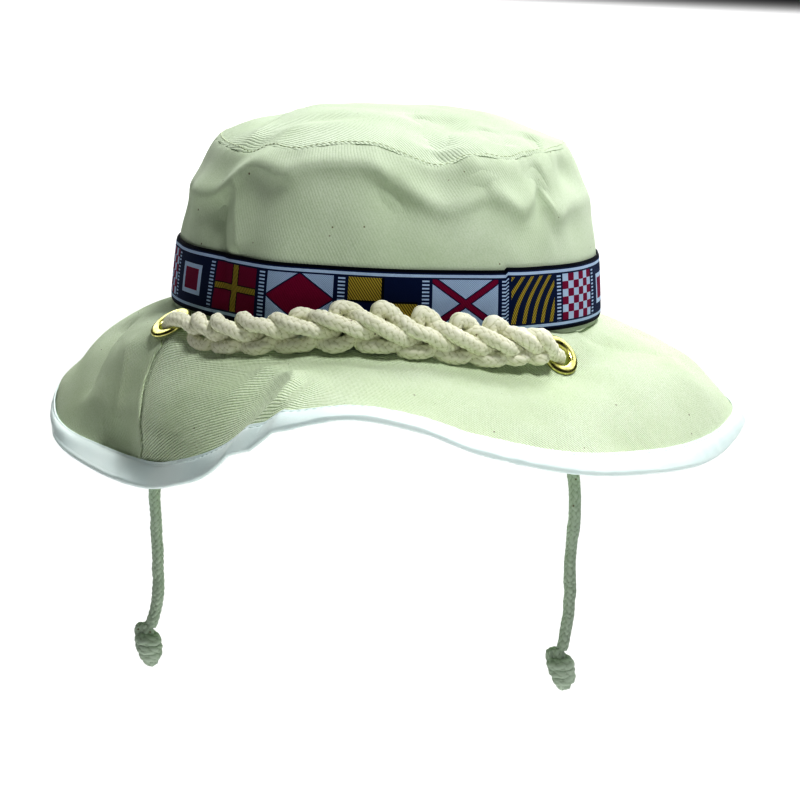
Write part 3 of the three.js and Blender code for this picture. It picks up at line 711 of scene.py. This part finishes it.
# brim
brim = {
    "cloth": 2, "width": 75.5, "near": 18, "middle": 42,    # the last three are distances out
    # turn, drop at the near line, at the middle line and at the edge
    "sections": (
        (-180, 7, 21, 45), (-140, 8, 24, 49), (-112, 6.5, 21.5, 48.5), (-93, 6.5, 21, 48.8),
        (-79, 7.8, 24.8, 54), (-66, 8.8, 28.6, 58.8), (-55, 8.6, 30, 61.4), (-46, 9, 29.4, 61.6),
        (-33, 11.6, 26.4, 59), (-22, 11.4, 21.6, 51), (-15, 10.4, 18.2, 43.4), (-9.5, 9.5, 16, 33.5),
        (-5, 8.5, 13, 24.5), (3.5, 7.5, 11, 17.2), (12, 8, 12, 20.5), (20, 9.5, 14.5, 29),
        (33, 12, 19.5, 37.5), (46, 11.5, 21.5, 42), (60, 10.5, 21.5, 44.5), (75, 8, 18, 44.5),
        (90, 6, 15.5, 39), (110, 6, 16.5, 39), (145, 7, 21, 43),
    ),
    # turn, distance out, spread round, spread out, rise
    "folds": (
        (-8, 52, 4, 14, 1.6), (-12, 40, 4, 14, -1.4), (72, 16, 12, 7, -1.8), (-62, 34, 7, 18, 1.4),
        (128, 48, 9, 20, 1.8), (-150, 50, 10, 20, 1.8),
    ),
    # turn to one side, weight of the brim's reach there
    "evened": ((-9, 0.12), (-4.5, 0.22), (0, 0.32), (4.5, 0.22), (9, 0.12)),
    # creases: path by turn and distance out, rise, reach of the left and right side
    "creases": (
        (((-48, 18), (-38, 20.5), (-30, 21.5), (-22, 23), (-15, 28), (-10, 36)), 2.0, 11, 10),
        (((-17, 25), (-11.5, 31), (-7.5, 39), (-6, 48), (-7.2, 58), (-10.5, 68), (-15, 86)), 4.0, 10, 12),
        (((-1, 36), (-2.6, 46), (-3.8, 56), (-5.5, 67), (-7, 84)), 1.4, 3, 3.5),
        (((-3.6, 38), (-4.4, 48), (-6, 58), (-8.2, 68), (-11, 84)), -1.2, 2.5, 2.5),
        (((-14, 22), (-5, 26), (3, 27), (10, 22), (20, 19), (33, 20)), 1.2, 7, 9),
        (((66, 1), (72, 6), (78, 13), (84, 24), (86, 36)), -2.0, 8, 7),
        (((-45.6, 21), (-46.8, 25), (-47.2, 31.5), (-46, 39.5), (-42.9, 48), (-40.8, 58.5), (-40.4, 66)),
         -1.2, 1.5, 2.2),
        (((-84, 16), (-76, 36), (-70, 58)), -2.6, 8, 9),
        (((-62, 18), (-57, 40), (-53, 60)), 1.7, 7, 7),
        (((-11, 33), (-7, 41), (-6.2, 49), (-7.4, 58), (-10.5, 68), (-14.5, 84)), 1.5, 3, 3.5),
    ),
    # where the bound edge rolls up towards the light, and where it tucks under: turn, spread, rise
    "lips": ((-54, 23, 6.4), (-93, 15, -7)),
    "lipFrom": 50,
    # the seams between the brim's two halves: path by turn and distance out
    "seams": (
        ((-46.5, 21.6), (-47.6, 25), (-48, 31.5), (-46.8, 39.5), (-43.6, 48), (-41.4, 58.5), (-41, 67)),
        ((131, 1.5), (131.5, 20), (131, 40), (132, 55), (132, 67)),
    ),
    # a seam's section: distance to its right, height
    "lap": (
        (-7, -0.3), (-4.6, 0.1), (-2.4, 0.4), (-0.9, 0.5), (-0.25, 0.35), (0, 0), (0.1, -1.0), (-3, -0.7),
    ),
    "twill": (-14, 44),      # lean of the twill lines in the right half and in the left half
    "seen": 1.2,             # thickness of the cloth as it is seen at the edge
    "rows": 112, "underRows": 26,
}
eyelets = {
    # turn, distance out, and slope and lift of the cloth there, which fade out over the reach
    "left": (-49.5, 11.5, 0.06, 2.4), "right": (51, 11.8, 0.32, 1.4), "reach": 13,
    "hole": 9.8, "flange": 18, "wall": 0.7, "sides": 96,
    "holeSides": 48, "punchHalf": 8,
}


def brimDrop(turns, outs):
    # outs: distances out, alike for all the turns
    zero = np.zeros_like(turns, float)
    values = np.stack([zero] + [roundTable(brim["sections"], k, turns) for k in (1, 2, 3)])
    outs = np.asarray(outs, float)
    drop = smoothRun(np.array([0.0, brim["near"], brim["middle"], brim["width"]]), values, outs)
    for turn, out, turnSpread, outSpread, rise in brim["folds"]:
        drop = drop - rise * bell(turnGap(turns, turn), turnSpread) * bell(outs[:, None] - out, outSpread)
    reach = eyelets["reach"]
    for turn, out, slope, lift in (eyelets["left"], eyelets["right"]):
        near = bell(turnGap(turns, turn) * 1.85, reach) * bell(outs[:, None] - out, reach)
        drop = drop + (slope * (outs[:, None] - out) - lift) * near
    return drop


def brimReach(turns, fine):
    # the cloth keeps its width: it reaches out only as far as its drop leaves over
    stride = np.sqrt(np.maximum(0, fine[1] ** 2 - np.diff(brimDrop(turns, fine), axis=0) ** 2))
    return np.concatenate([np.zeros((1, len(turns))), np.cumsum(stride, axis=0)])


def asColumn(outs):
    # distances out, alike for all the turns or with a column for each turn
    outs = np.asarray(outs, float)
    return outs if outs.ndim == 2 else outs[:, None]


def brimLines(turns, outs):
    turns = np.atleast_1d(np.asarray(turns, float))
    grid = asColumn(outs) + 0 * turns
    fine = np.linspace(0, brim["width"], 61)
    drop = brimDrop(turns, fine)
    # stiff cloth evens its reach out with that of its neighbours
    reach = sum(weight * brimReach(turns + aside, fine) for aside, weight in brim["evened"])
    r, z = (np.stack([np.interp(at, fine, line) for at, line in zip(grid.T, lines.T)], 1)
            for lines in (reach, -drop))
    return headRadius(turns) + r, z


def brimFlat(turns, outs):
    # the brim laid flat, near enough for drawing on it
    return plan(turns, head["flat"] + outs)


def brimCreases(turns, outs):
    outs = asColumn(outs)
    x, y = brimFlat(turns[None], outs)
    rise = foldsAlong(x, y, brim["creases"], lambda path: np.stack(brimFlat(*path.T), -1), 11)
    share = np.clip((outs - brim["lipFrom"]) / (brim["width"] - brim["lipFrom"]), 0, 1)
    lip = sum(height * bell(turnGap(turns, turn), spread) for turn, spread, height in brim["lips"])
    return rise + lip * share ** 2 * (4.4 * share - 3.9)


def brimRelief(turns, outs):
    out = outs[:, None]
    soft = roundNoise(turns, 44, out / 22, 8) * 0.8 * bell(out - 38, 26)
    pucker = roundNoise(turns, 210, out / 12, 9) * 0.25 * np.exp(-np.abs(brim["width"] - 10 - out) / 5)
    return soft + pucker + brimCreases(turns, outs)


def seamTurn(path, outs):
    turnPath, outPath = np.array(path, float).T
    return np.interp(outs, outPath, turnPath)[:, None]


def makeBrim():
    outs = np.linspace(0, brim["width"], brim["rows"])
    underOuts = np.linspace(0, brim["width"], brim["underRows"])
    (r, z), (lowR, lowZ) = brimLines(turns, outs), brimLines(turns, underOuts)
    for line in (r, lowR):
        line[0] -= crown["cloth"]
    thick = brim["cloth"] - (brim["cloth"] - brim["seen"]) * bell(underOuts - brim["width"], 22)[:, None]
    lower = offsetLine(lowR, lowZ, brimCreases(turns, underOuts) - thick)
    upper = offsetLine(r, z, brimRelief(turns, outs))
    allOuts = np.concatenate([underOuts, outs[::-1], underOuts[:1]])
    closed = np.append(turns, turns[0] + 360)
    front, back = (seamTurn(path, allOuts) for path in brim["seams"])
    leftHalf = (closed < front) | (closed > back)
    x, y = brimFlat(closed, allOuts[:, None])
    uv = clothUv(x, y, np.where(leftHalf, brim["twill"][1], brim["twill"][0])).transpose(1, 0, 2)
    cloth = roundPiece("brimCloth", *joined(lower, upper), uv, brimCanvasPaintedLight, "canvas", "brim")
    return cloth, {"outs": outs, "points": placed(turns, *upper)}


def onBrim(face, turnsAt, outsAt):
    # points of the brim's upper face at any turns and distances out
    p, step = face["points"], face["outs"][1]
    i = np.clip(np.searchsorted(turns, turnsAt, side="right") - 1, 0, len(turns) - 2)
    j = np.clip((outsAt / step).astype(int), 0, len(face["outs"]) - 2)
    u = ((turnsAt - turns[i]) / (turns[i + 1] - turns[i]))[..., None]
    v = (outsAt / step - j)[..., None]
    near, far = (p[row, i] * (1 - u) + p[row, i + 1] * u for row in (j, j + 1))
    return near * (1 - v) + far * v


def makeSeam(name, face, path):
    # lapped seam: the left half's folded edge lies on the right half
    flatPath = [(x, y, 0) for x, y in zip(*brimFlat(*np.array(path, float).T))]
    line = smoothPath(flatPath, 0.7)[:, :2]
    ahead = unit(np.gradient(line, axis=0))
    right = np.stack([-ahead[:, 1], ahead[:, 0]], -1)

    def lifted(aside, height):
        spot = line + right * aside
        turnsAt = np.degrees(np.arctan2(spot[:, 0], -spot[:, 1]))
        outsAt = np.hypot(spot[:, 0], spot[:, 1]) - head["flat"]
        slope = onBrim(face, turnsAt, outsAt + 0.8) - onBrim(face, turnsAt, outsAt - 0.8)
        level = onBrim(face, turnsAt + 0.5, outsAt) - onBrim(face, turnsAt - 0.5, outsAt)
        return onBrim(face, turnsAt, outsAt) - unit(np.cross(level, slope)) * height

    rows = np.stack([lifted(aside, height) for aside, height in brim["lap"]], 1)
    count, size = rows.shape[:2]
    faces, i, j = gridFaces(count, size)
    spots = line[i] + right[i] * np.array(brim["lap"])[j % size, :1]
    uv = clothUv(spots[..., 0], spots[..., 1], brim["twill"][1]).reshape(-1, 2)
    addPiece(name, rows.reshape(-1, 3), faces.tolist() + endFaces(count, size), brimCanvasPaintedLight,
             np.concatenate([uv, np.zeros((2 * size, 2))]), sharp=70)


def eyeletSeat(sideName):
    # place and axes of an eyelet; the last axis stands out of the cloth
    turn, out, _, _ = eyelets[sideName]
    half = eyelets["flange"] / 2
    r, z = brimLines(turn, [out - half, out, out + half])
    tilt = math.atan2(z[0, 0] - z[2, 0], r[2, 0] - r[0, 0])
    outward = spotAt(turn, 1.0, 0.0)
    slope = outward * math.cos(tilt) - np.array([0, 0, math.sin(tilt)])
    normal = outward * math.sin(tilt) + np.array([0, 0, math.cos(tilt)])
    return spotAt(turn, r[1, 0], z[1, 0]), slope, np.cross(normal, slope), normal


def turnedRing(profile, seat, sides):
    # a closed profile (radius, height) turned round the seat's axis
    origin, slope, across, normal = seat
    angle = np.arange(sides) * 2 * math.pi / sides
    ring = np.cos(angle)[:, None] * slope + np.sin(angle)[:, None] * across
    radius, height = np.array(profile).T
    return origin + ring[:, None] * radius[None, :, None] + normal * height[None, :, None]


def makeEyelet(sideName):
    bore, flange, gap = eyelets["hole"] / 2, eyelets["flange"] / 2, head["gap"]
    under, wall = -brim["cloth"] - gap, bore + eyelets["wall"]
    middle, half = (bore + flange) / 2, (flange - bore) / 2
    sweep = np.linspace(math.pi, 0, 17)
    roll = [(middle + half * math.cos(a), gap + 0.15 + 1.25 * math.sin(a) ** 0.8) for a in sweep]
    inner = [(flange - 0.35, gap), (wall + 0.1, gap), (wall, gap - 0.1), (wall, under + 0.1),
             (wall + 0.1, under)]
    washer = [(flange - 0.7, under), (flange - 0.45, under - 0.15), (flange - 0.45, under - 0.5),
              (flange - 0.8, under - 0.62)]
    foot = [(bore + 0.4, under - 0.75), (bore + 0.1, under - 0.7), (bore, under - 0.45)]
    profile = (roll + inner + washer + foot)[::-1]
    sections = turnedRing(profile, eyeletSeat(sideName), eyelets["sides"])
    uv = np.zeros((len(sections) + 1, len(profile) + 1, 2))
    ringPiece("eyelet" + sideName.capitalize(), sections, uv, brass, "eyelet_" + sideName, 60)


def cutHoles(cloth):
    # opens the cloth where the eyelets go through it
    wide = eyelets["hole"] / 2 + eyelets["wall"] + head["gap"]
    reach, sides = eyelets["punchHalf"], eyelets["holeSides"]
    faces = gridFaces(sides, 2, True, False)[0].tolist()
    faces += [list(range(0, 2 * sides, 2))[::-1], list(range(1, 2 * sides, 2))]
    for sideName in ("left", "right"):
        rings = turnedRing([(wide, -reach), (wide, reach)], eyeletSeat(sideName), sides)
        mesh = bpy.data.meshes.new("punch")
        mesh.from_pydata((rings.reshape(-1, 3) * mm).tolist(), [], faces)
        punch = addObject("punch", mesh)
        cut = cloth.modifiers.new("hole", "BOOLEAN")
        cut.operation = "DIFFERENCE"
        cut.object = punch
        cut.solver = "EXACT"
        bpy.context.view_layer.update()
        whole = bpy.data.meshes.new_from_object(cloth.evaluated_get(bpy.context.evaluated_depsgraph_get()))
        cloth.modifiers.clear()
        cloth.data = whole
        bpy.data.objects.remove(punch)


brimCloth, brimFace = makeBrim()
cutHoles(brimCloth)
for name, path in zip(("brimSeamFront", "brimSeamBack"), brim["seams"]):
    makeSeam(name, brimFace, path)
makeEyelet("left")
makeEyelet("right")
print("hat: brim and eyelets made")

# binding round the brim's edge
binding = {
    "width": 9.0, "cloth": 0.6, "gap": 0.08,
    "stitchIn": 1.2, "stitch": (2.9, 2.2, 0.5),   # distance from the edge; step, length and width
    "narrow": ((-80, 17, 4.2), (90, 16, 2.6)),    # turn, spread, width taken in by the tight curve
}


def bindingBase(turns):
    # the creased brim's edge, finely divided, from the binding's inner edge outwards
    taken = sum(by * bell(turnGap(turns, turn), spread) for turn, spread, by in binding["narrow"])
    outs = brim["width"] - (binding["width"] - taken) * np.linspace(1, 0, 22)[:, None]
    return offsetLine(*brimLines(turns, outs), brimCreases(turns, outs))


def makeBinding():
    r, z = bindingBase(turns)
    gap, thick, cloth = binding["gap"], binding["cloth"], brim["seen"]
    wave = roundNoise(turns, 180, 0 * turns, 14) * 0.18
    share = np.linspace(0, 1, len(r))[:, None]
    puff = (0.6 + 0.8 * bell(turnGap(turns, -64), 26)) * np.sin(math.pi * share) ** 0.8 + wave * share
    groove = -0.25 * bell(share * binding["width"] - binding["stitchIn"], 0.55)
    puckers = roundNoise(turns, 330, share * 2, 15) * 0.14 * np.exp(-share * 3)
    top = offsetLine(r, z, gap + thick + puff + groove + puckers)
    under = offsetLine(r, z, -cloth - gap - thick - puff - groove)
    inTop, inUnder = offsetLine(r, z, gap), offsetLine(r, z, -cloth - gap)
    dr, dz = r[-1] - r[-2], z[-1] - z[-2]
    length = np.hypot(dr, dz)
    dr, dz = dr / length, dz / length
    half = cloth / 2 + gap + thick
    fold = [], []
    for angle in np.linspace(math.pi, 0, 11)[1:-1]:
        forward, across = half * math.sin(angle), (half + wave) * math.cos(angle) - cloth / 2
        fold[0].append(r[-1] + dr * forward - dz * across)
        fold[1].append(z[-1] + dz * forward + dr * across)
    r1, z1 = (np.concatenate([under[k], fold[k], top[k][::-1], inTop[k], inUnder[k][::-1]]) for k in (0, 1))
    uv = np.zeros((len(turns) + 1, len(r1) + 1, 2))
    uv[..., 0] = roundLength(turns, r[-1])[:, None]
    uv[..., 1] = np.append(walkAlong(np.stack([r1[:, 0], z1[:, 0]], 1)), 0)
    roundPiece("brimBinding", r1, z1, uv, bindingCloth, "binding", "brim_binding")


def stitchRow(name, centres, ahead, normal, length, width, material):
    # short sewn threads lying along a line, each sunk at both ends
    rows, sides = 5, 6
    ahead, normal = unit(ahead)[:, None, None], unit(normal)[:, None, None]
    side = np.cross(normal, ahead)
    t = np.linspace(-1, 1, rows)[:, None, None]
    angle = 2 * math.pi * np.arange(sides)[:, None] / sides
    thick = width / 2 * np.sqrt(np.maximum(0.12, 1 - t * t))
    middle = centres[:, None, None] + ahead * t * length / 2 + normal * width * (0.34 * (1 - t * t) - 0.1)
    points = middle + side * thick * np.cos(angle) + normal * thick * 0.8 * np.sin(angle)
    one = gridFaces(rows, sides)[0][:, [0, 3, 2, 1]].tolist() + endFaces(rows, sides)
    starts = range(0, len(centres) * rows * sides, rows * sides)
    faces = [[start + k for k in face] for start in starts for face in one]
    uv = np.zeros((sum(len(f) for f in faces), 2))
    addPiece(name, points.reshape(-1, 3), faces, material, uv, sharp=80)


def evenTurns(line, step):
    # turns at which stitches fall, evenly spaced along a closed line sampled at the turns
    walked = walkAlong(np.concatenate([line, line[:1]]))
    count = int(round(walked[-1] / step))
    return np.interp(np.arange(count) * walked[-1] / count, walked, np.append(turns, turns[0] + 360))


def sewRound(name, place, stitch, material):
    # place gives, for any turns, points of the sewn line lifted by some distance
    step, length, width = stitch
    at = evenTurns(place(turns, 0), step)
    here, on, lifted = place(at, 0), place(at + 0.2, 0), place(at, 1)
    stitchRow(name, here, on - here, lifted - here, length, width, material)


def bindingStitchLine(turns, lift):
    r, z = bindingBase(turns)
    row = int(round(binding["stitchIn"] / binding["width"] * (len(r) - 1)))
    r, z = offsetLine(r, z, binding["gap"] + binding["cloth"] + 0.05 + lift)
    return placed(turns, r[row], z[row])


makeBinding()
sewRound("bindingStitches", bindingStitchLine, binding["stitch"], bindingCloth)


def tipStitchLine(turns, lift):
    inwards = crown["stitchIn"]
    rimR, rimZ, _, _ = tipRim(turns)
    share = 1 - inwards / rimR
    x, y = plan(turns, rimR * share)
    z = tipHeight(x, y, share, rimZ - crown["seamHeight"]) + tipRelief(x, y, share)
    return placed(turns, rimR * share + 0.35 * lift, z - 0.5 * np.exp(-inwards / 0.8) + 0.9 * lift)


sewRound("tipStitches", tipStitchLine, crown["stitch"], thread)
print("hat: binding and seams sewn")

# flag ribbon
ribbon = {
    "foot": 2.2, "height": 25.4, "thickness": 1.0,
    "flags": 18, "firstLadder": -64.0,    # turn of the ladder left of the first flag
    "countFrom": 21,                      # whole rounds of seven flags keep the count above 0
    "pitch": 32.4,                        # width of a flag with its ladder
    "joinTurn": 36.5, "joinStep": 1.1,    # one end of the ribbon laps over the other, a little higher
    "navy": (0.009, 0.026, 0.09, 1), "black": (0.003, 0.006, 0.016, 1), "white": (0.50, 0.62, 0.78, 1),
    "crimson": (0.27, 0.010, 0.08, 1), "gold": (0.51, 0.42, 0.09, 1),
}


def ribbonMaterial():
    # x counts flags round the hat, y is 0 at the ribbon's foot and 1 at its top
    m = Nodes("flag ribbon")
    x, y = m.clothParts()
    navy, black, white, crimson, gold = (ribbon[k] for k in ("navy", "black", "white", "crimson", "gold"))
    pitch, tall = ribbon["pitch"], ribbon["height"]
    part, which = x.fract(), x.floor() % 7

    def ripple(value, size, step):
        return (value * (size * 2 * math.pi / step)).sine()

    # slanting floats of the woven colours
    slant = ripple(part * pitch + y * (tall * 0.7), 1, 1.05)
    floats = m.ramp(slant, -0.2, 0.75)
    goldWoven = m.mix(floats * 0.8, gold, (0.05, 0.04, 0.012, 1))
    redWoven = m.mix(floats * 0.3, crimson, (0.10, 0.004, 0.02, 1))
    dots = ripple(part, pitch, 0.75) * ripple(y, tall, 0.75)
    whiteDotted = m.mix(m.ramp(dots, 0.1, 0.5, 0.0, 0.7), white, (0.10, 0.16, 0.30, 1))

    # the field of a flag, 0 to 1 both ways, between the ladders and the edge lines
    s = m.ramp(part, 0.16, 0.985, clamp=False)
    t = m.ramp(y, 0.14, 0.86, clamp=False)
    sc, tc = s - 0.5, t - 0.5
    sa, ta = abs(sc), abs(tc)
    square, arm = m.math("MAXIMUM", sa, ta), m.math("MINIMUM", sa, ta)
    diamond, saltire = sa + ta, abs(sa - ta)
    wave = ((s - t * 0.42 + (t * math.pi).sine() * 0.09) * 4.6).fract()
    odd = ((s * 6).floor() + (t * 6).floor()) % 2
    # the ground of each flag, then what lies on it
    flags = (
        (navy, (square < 0.33, white), (square < 0.23, redWoven)),
        (redWoven, (arm < 0.085, black), (arm < 0.066, goldWoven)),
        (whiteDotted, (diamond < 0.53, navy), (diamond < 0.50, redWoven)),
        (navy, (sc * tc < 0.0, goldWoven), (arm < 0.018, black)),
        (whiteDotted, (saltire < 0.095, navy), (saltire < 0.07, redWoven)),
        (navy, (wave < 0.42, goldWoven)),
        (redWoven, (abs(odd) > 0.5, white)),
    )
    for k, (flag, *layers) in enumerate(flags):
        for mask, over in layers:
            flag = m.mix(mask, flag, over)
        colour = m.mix(m.band(which, k - 0.5, k + 0.5), colour, flag) if k else flag

    rungs = ripple(y, tall, 1.38) > -0.1
    ladder = m.mix(m.band(part, 0.035, 0.125) * rungs, navy, white)
    colour = m.mix(m.band(s, 0, 1) * m.band(t, 0, 1), ladder, colour)
    edge = abs(y - 0.5)
    colour = m.mix(edge > 0.367, colour, navy)
    colour = m.mix(m.band(edge, 0.383, 0.432), colour, white)
    colour = m.mix(edge > 0.455, colour, black)
    height = ripple(y, tall, 0.42) * ripple(part, pitch, 0.5) + floats * 0.8
    return m.dress(colour, height, 0.00008, 0.8, {"Roughness": 0.6, "Specular IOR Level": 0.15})


def ribbonLines(turns, shares):
    past = turnGap(turns, ribbon["joinTurn"])
    lap = np.where(past > 0, np.exp(-np.maximum(0, past) / 14), 0)
    z = ribbon["foot"] + np.asarray(shares)[:, None] * ribbon["height"] + ribbon["joinStep"] * lap
    return wallRadius(turns, z) + wallRelief(turns, z) * 0.7 + 0.6 * lap, z


def makeRibbon():
    shares = np.linspace(0, 1, 30)
    r, z = ribbonLines(turns, shares)
    buckle = roundNoise(turns, 70, z / 18, 17) * 0.16
    edge = -0.35 * (np.abs(shares * 2 - 1) ** 18)[:, None]
    outside = offsetLine(r, z, -head["gap"] - ribbon["thickness"] - buckle - edge)
    r, z = joined(outside, offsetLine(r, z, -head["gap"]))
    # the flags are spaced out evenly along the ribbon's middle
    walked = roundLength(turns, wallRadius(turns, np.full_like(turns, 15.0)) + 1.3)
    flagAt = walked / walked[-1] * ribbon["flags"]
    start = np.interp(ribbon["firstLadder"], turns, flagAt[:-1])
    uv = np.zeros((len(turns) + 1, len(r) + 1, 2))
    uv[..., 0] = (flagAt - start + ribbon["countFrom"])[:, None]
    uv[..., 1] = np.concatenate([shares, shares[::-1], shares[:1]])
    roundPiece("flagRibbon", r, z, uv, ribbonMaterial(), "ribbon", "flag_band")


makeRibbon()
print("hat: ribbon made")

# chain-knotted cord along the front
chain = {
    # turn, distance out from the head opening and height of the middle line
    "route": (
        (-45.5, 12.2, 5.2), (-43.2, 11.4, 5.2), (-40, 9.6, 3.6), (-35.5, 8.2, 2.6), (-24, 7.4, 2.9),
        (-12, 7.4, 4.6), (0, 7.4, 6.2), (12, 7.4, 5.8), (24, 7.4, 4.2), (35.5, 8.2, 2.9), (40, 9.4, 1.8),
        (43, 10.8, 0.8), (45.4, 11.4, -0.4),
    ),
    # the way through an eyelet: down the slope, level, round the hat towards the chain
    "through": ((2.7, -6.8, 0), (2, -3.4, 0), (1.4, -0.4, 0.3), (0.8, 2.0, 2.4), (0, 3.6, 6.0)),
    # millimetres along the middle line, sag below it, lean outwards, how far the chain is rolled, size
    "lie": (
        (0, 0, 0, 0, 0.7), (20, 5.2, 1, 0, 0.75), (30, 5.4, 1.6, 0, 0.8), (44, 4.0, 1.6, 0, 0.95),
        (60, 2.0, 1, 0, 1), (76, 0.5, 0.4, 0.15, 1), (92, -0.2, 0.2, 0.8, 1.02), (106, -0.9, 0.3, 1, 1.1),
        (121, 0.3, 0.3, 1, 1.02), (145, 1.5, 0.8, 1, 1), (163, 1.8, 1, 1, 0.96),
        (174, 0.9, 0.6, 0.8, 0.86), (186, 0.2, 0.2, 0.5, 0.7),
    ),
    # where each link starts along the middle line, from the right eyelet leftwards
    "starts": (183, 175, 164.5, 151.5, 137, 122, 106.5, 91, 75, 60.5, 46.5, 34),
    # one link seen square on and rolled: share of the way to the next link, height, depth
    "square": (
        (-0.30, -1.8, -0.6), (0.02, -0.6, 2.8), (0.34, 1.4, 4.4), (0.70, 3.4, 4.0), (1.02, 5.0, 1.6),
        (1.22, 3.8, -1.6), (1.30, -1.0, -2.8), (1.22, -4.0, -1.4), (1.0, -5.6, 1.0), (0.66, -6.0, 2.4),
        (0.34, -5.2, 1.8), (0.10, -3.2, -1.6), (0.30, -1.2, -3.2), (0.54, -1.6, -2.8),
    ),
    "rolled": (
        (-0.30, -3.0, -0.4), (0.04, -2.0, 3.2), (0.38, -0.2, 4.6), (0.74, 1.6, 4.2), (1.08, 3.2, 1.8),
        (1.28, 2.0, -1.4), (1.32, -2.6, -3.0), (1.20, -5.0, -1.4), (0.97, -6.8, 1.0), (0.64, -7.2, 2.2),
        (0.30, -6.0, 1.2), (0.04, -0.6, -2.6), (0.24, 4.6, -1.4), (0.62, 5.8, -0.4),
    ),
    "radius": 2.95,
}


def eyeletWay(sideName, rows):
    origin, slope, across, normal = eyeletSeat(sideName)
    inwards = across if sideName == "left" else -across
    return [origin + slope * out + normal * level + inwards * along for out, level, along in rows]


def makeBraid():
    middle = [spotAt(turn, headRadius(turn) + out, height) for turn, out, height in chain["route"]]
    ends = eyeletWay("left", chain["through"]), eyeletWay("right", chain["through"])
    whole = smoothPath(ends[0] + middle + ends[1][::-1], 0.5)
    walked = walkAlong(whole)
    ahead = unit(np.gradient(whole, axis=0))
    outward = -unit(np.cross(np.array([0, 0, 1.0]), ahead))
    up = np.cross(outward, ahead)
    lie = np.array(chain["lie"])
    square, rolled = np.array(chain["square"]), np.array(chain["rolled"])
    random = np.random.default_rng(31)

    def at(along, rise, depth):
        sag, lean, size = (np.interp(along, lie[:, 0], lie[:, k]) for k in (1, 2, 4))
        pick = lambda values: np.array([np.interp(along, walked, values[:, k]) for k in range(3)])
        return pick(whole) + pick(up) * (rise * size - sag) + pick(outward) * (depth * size + lean)

    points = eyeletWay("right", chain["through"][:4])
    for start, following in zip(chain["starts"][:-1], chain["starts"][1:]):
        roll = np.interp(start, lie[:, 0], lie[:, 3]) + random.uniform(-0.2, 0.2)
        rows = square * (1 - roll) + rolled * roll
        if following == chain["starts"][-1]:
            rows = rows[:11]
        for share, rise, depth in rows:
            loose = random.uniform(-0.5, 0.5, 3)
            along = start - share * (start - following)
            points.append(at(along + loose[0], rise + loose[1], depth + 0.5 * loose[2]))
    last = chain["starts"][-1]
    points += [at(last + 6, 0.4, -1.5), at(last - 1, 1.0, 1.4), at(last - 9, 1.6, 0.6)]
    points += eyeletWay("left", chain["through"][:4])[::-1]
    plaitedCord("chainBraid", smoothPath(points, cord["step"]), chain["radius"], 41, cotton, "braid")


makeBraid()
print("hat: chain braid made")

# floor and light
studio = {
    "floorDrop": 0.42, "floorReach": 60.0, "floor": ((0.94, 0.94, 0.94, 1), (0.92, 0.92, 0.92, 1)),
    "sky": 0.0,
    # place of each lamp, the point it shines at, width and length, power, colour
    "lamps": {
        "key": ((0.52, -0.5, 1.5), (0, 0, 0), (0.3, 0.3), 11.8, (1.0, 0.99, 1.0)),
        "back": ((0.4, 0.7, 1.3), (0, 0, 0), (0.6, 0.6), 5.0, (1.0, 0.99, 1.0)),
        "fill": ((0.3, -1.3, 0.35), (0, 0, 0), (0.8, 0.8), 1.5, (1.0, 0.99, 1.0)),
        # a wide ceiling light behind the hat that whitens the far floor
        "ceiling": ((0, 17.5, 7), (0, 17.5, 0), (24, 30), 3250, (1.0, 1.0, 1.0)),
    },
}


def addLight(name, place, target, size, power, colour):
    data = bpy.data.lights.new(name, "AREA")
    data.shape = "RECTANGLE"
    data.size, data.size_y = size
    data.energy = power
    data.color = colour
    lamp = addObject(name, data)
    lamp.location = place
    lamp.rotation_euler = (Vector(target) - Vector(place)).to_track_quat("-Z", "Y").to_euler()


def addStudio():
    reach, z = studio["floorReach"], -studio["floorDrop"]
    mesh = bpy.data.meshes.new("floor")
    corners = ((-1, -1), (1, -1), (1, 1), (-1, 1))
    mesh.from_pydata([(reach * x, reach * y, z) for x, y in corners], [], [(0, 1, 2, 3)])
    m = Nodes("pale floor")
    tone = m.mix(m.noise(0.8, 2), *studio["floor"])
    for name, value in (("Base Color", tone), ("Roughness", 0.9), ("Specular IOR Level", 0.0)):
        m.wire(value, m.shader.inputs[name])
    mesh.materials.append(m.material)
    addObject("floor", mesh)
    world = bpy.data.worlds.new("studio")
    world.use_nodes = True
    sky = world.node_tree.nodes["Background"]
    sky.inputs["Color"].default_value = (1, 1, 1, 1)
    sky.inputs["Strength"].default_value = studio["sky"]
    bpy.context.scene.world = world
    # bright, hard tones, as in the photo
    bpy.context.scene.view_settings.view_transform = "Standard"
    bpy.context.scene.view_settings.look = "Very High Contrast"
    for name, lamp in studio["lamps"].items():
        addLight(name, *lamp)


addStudio()
print("hat: all pieces made")
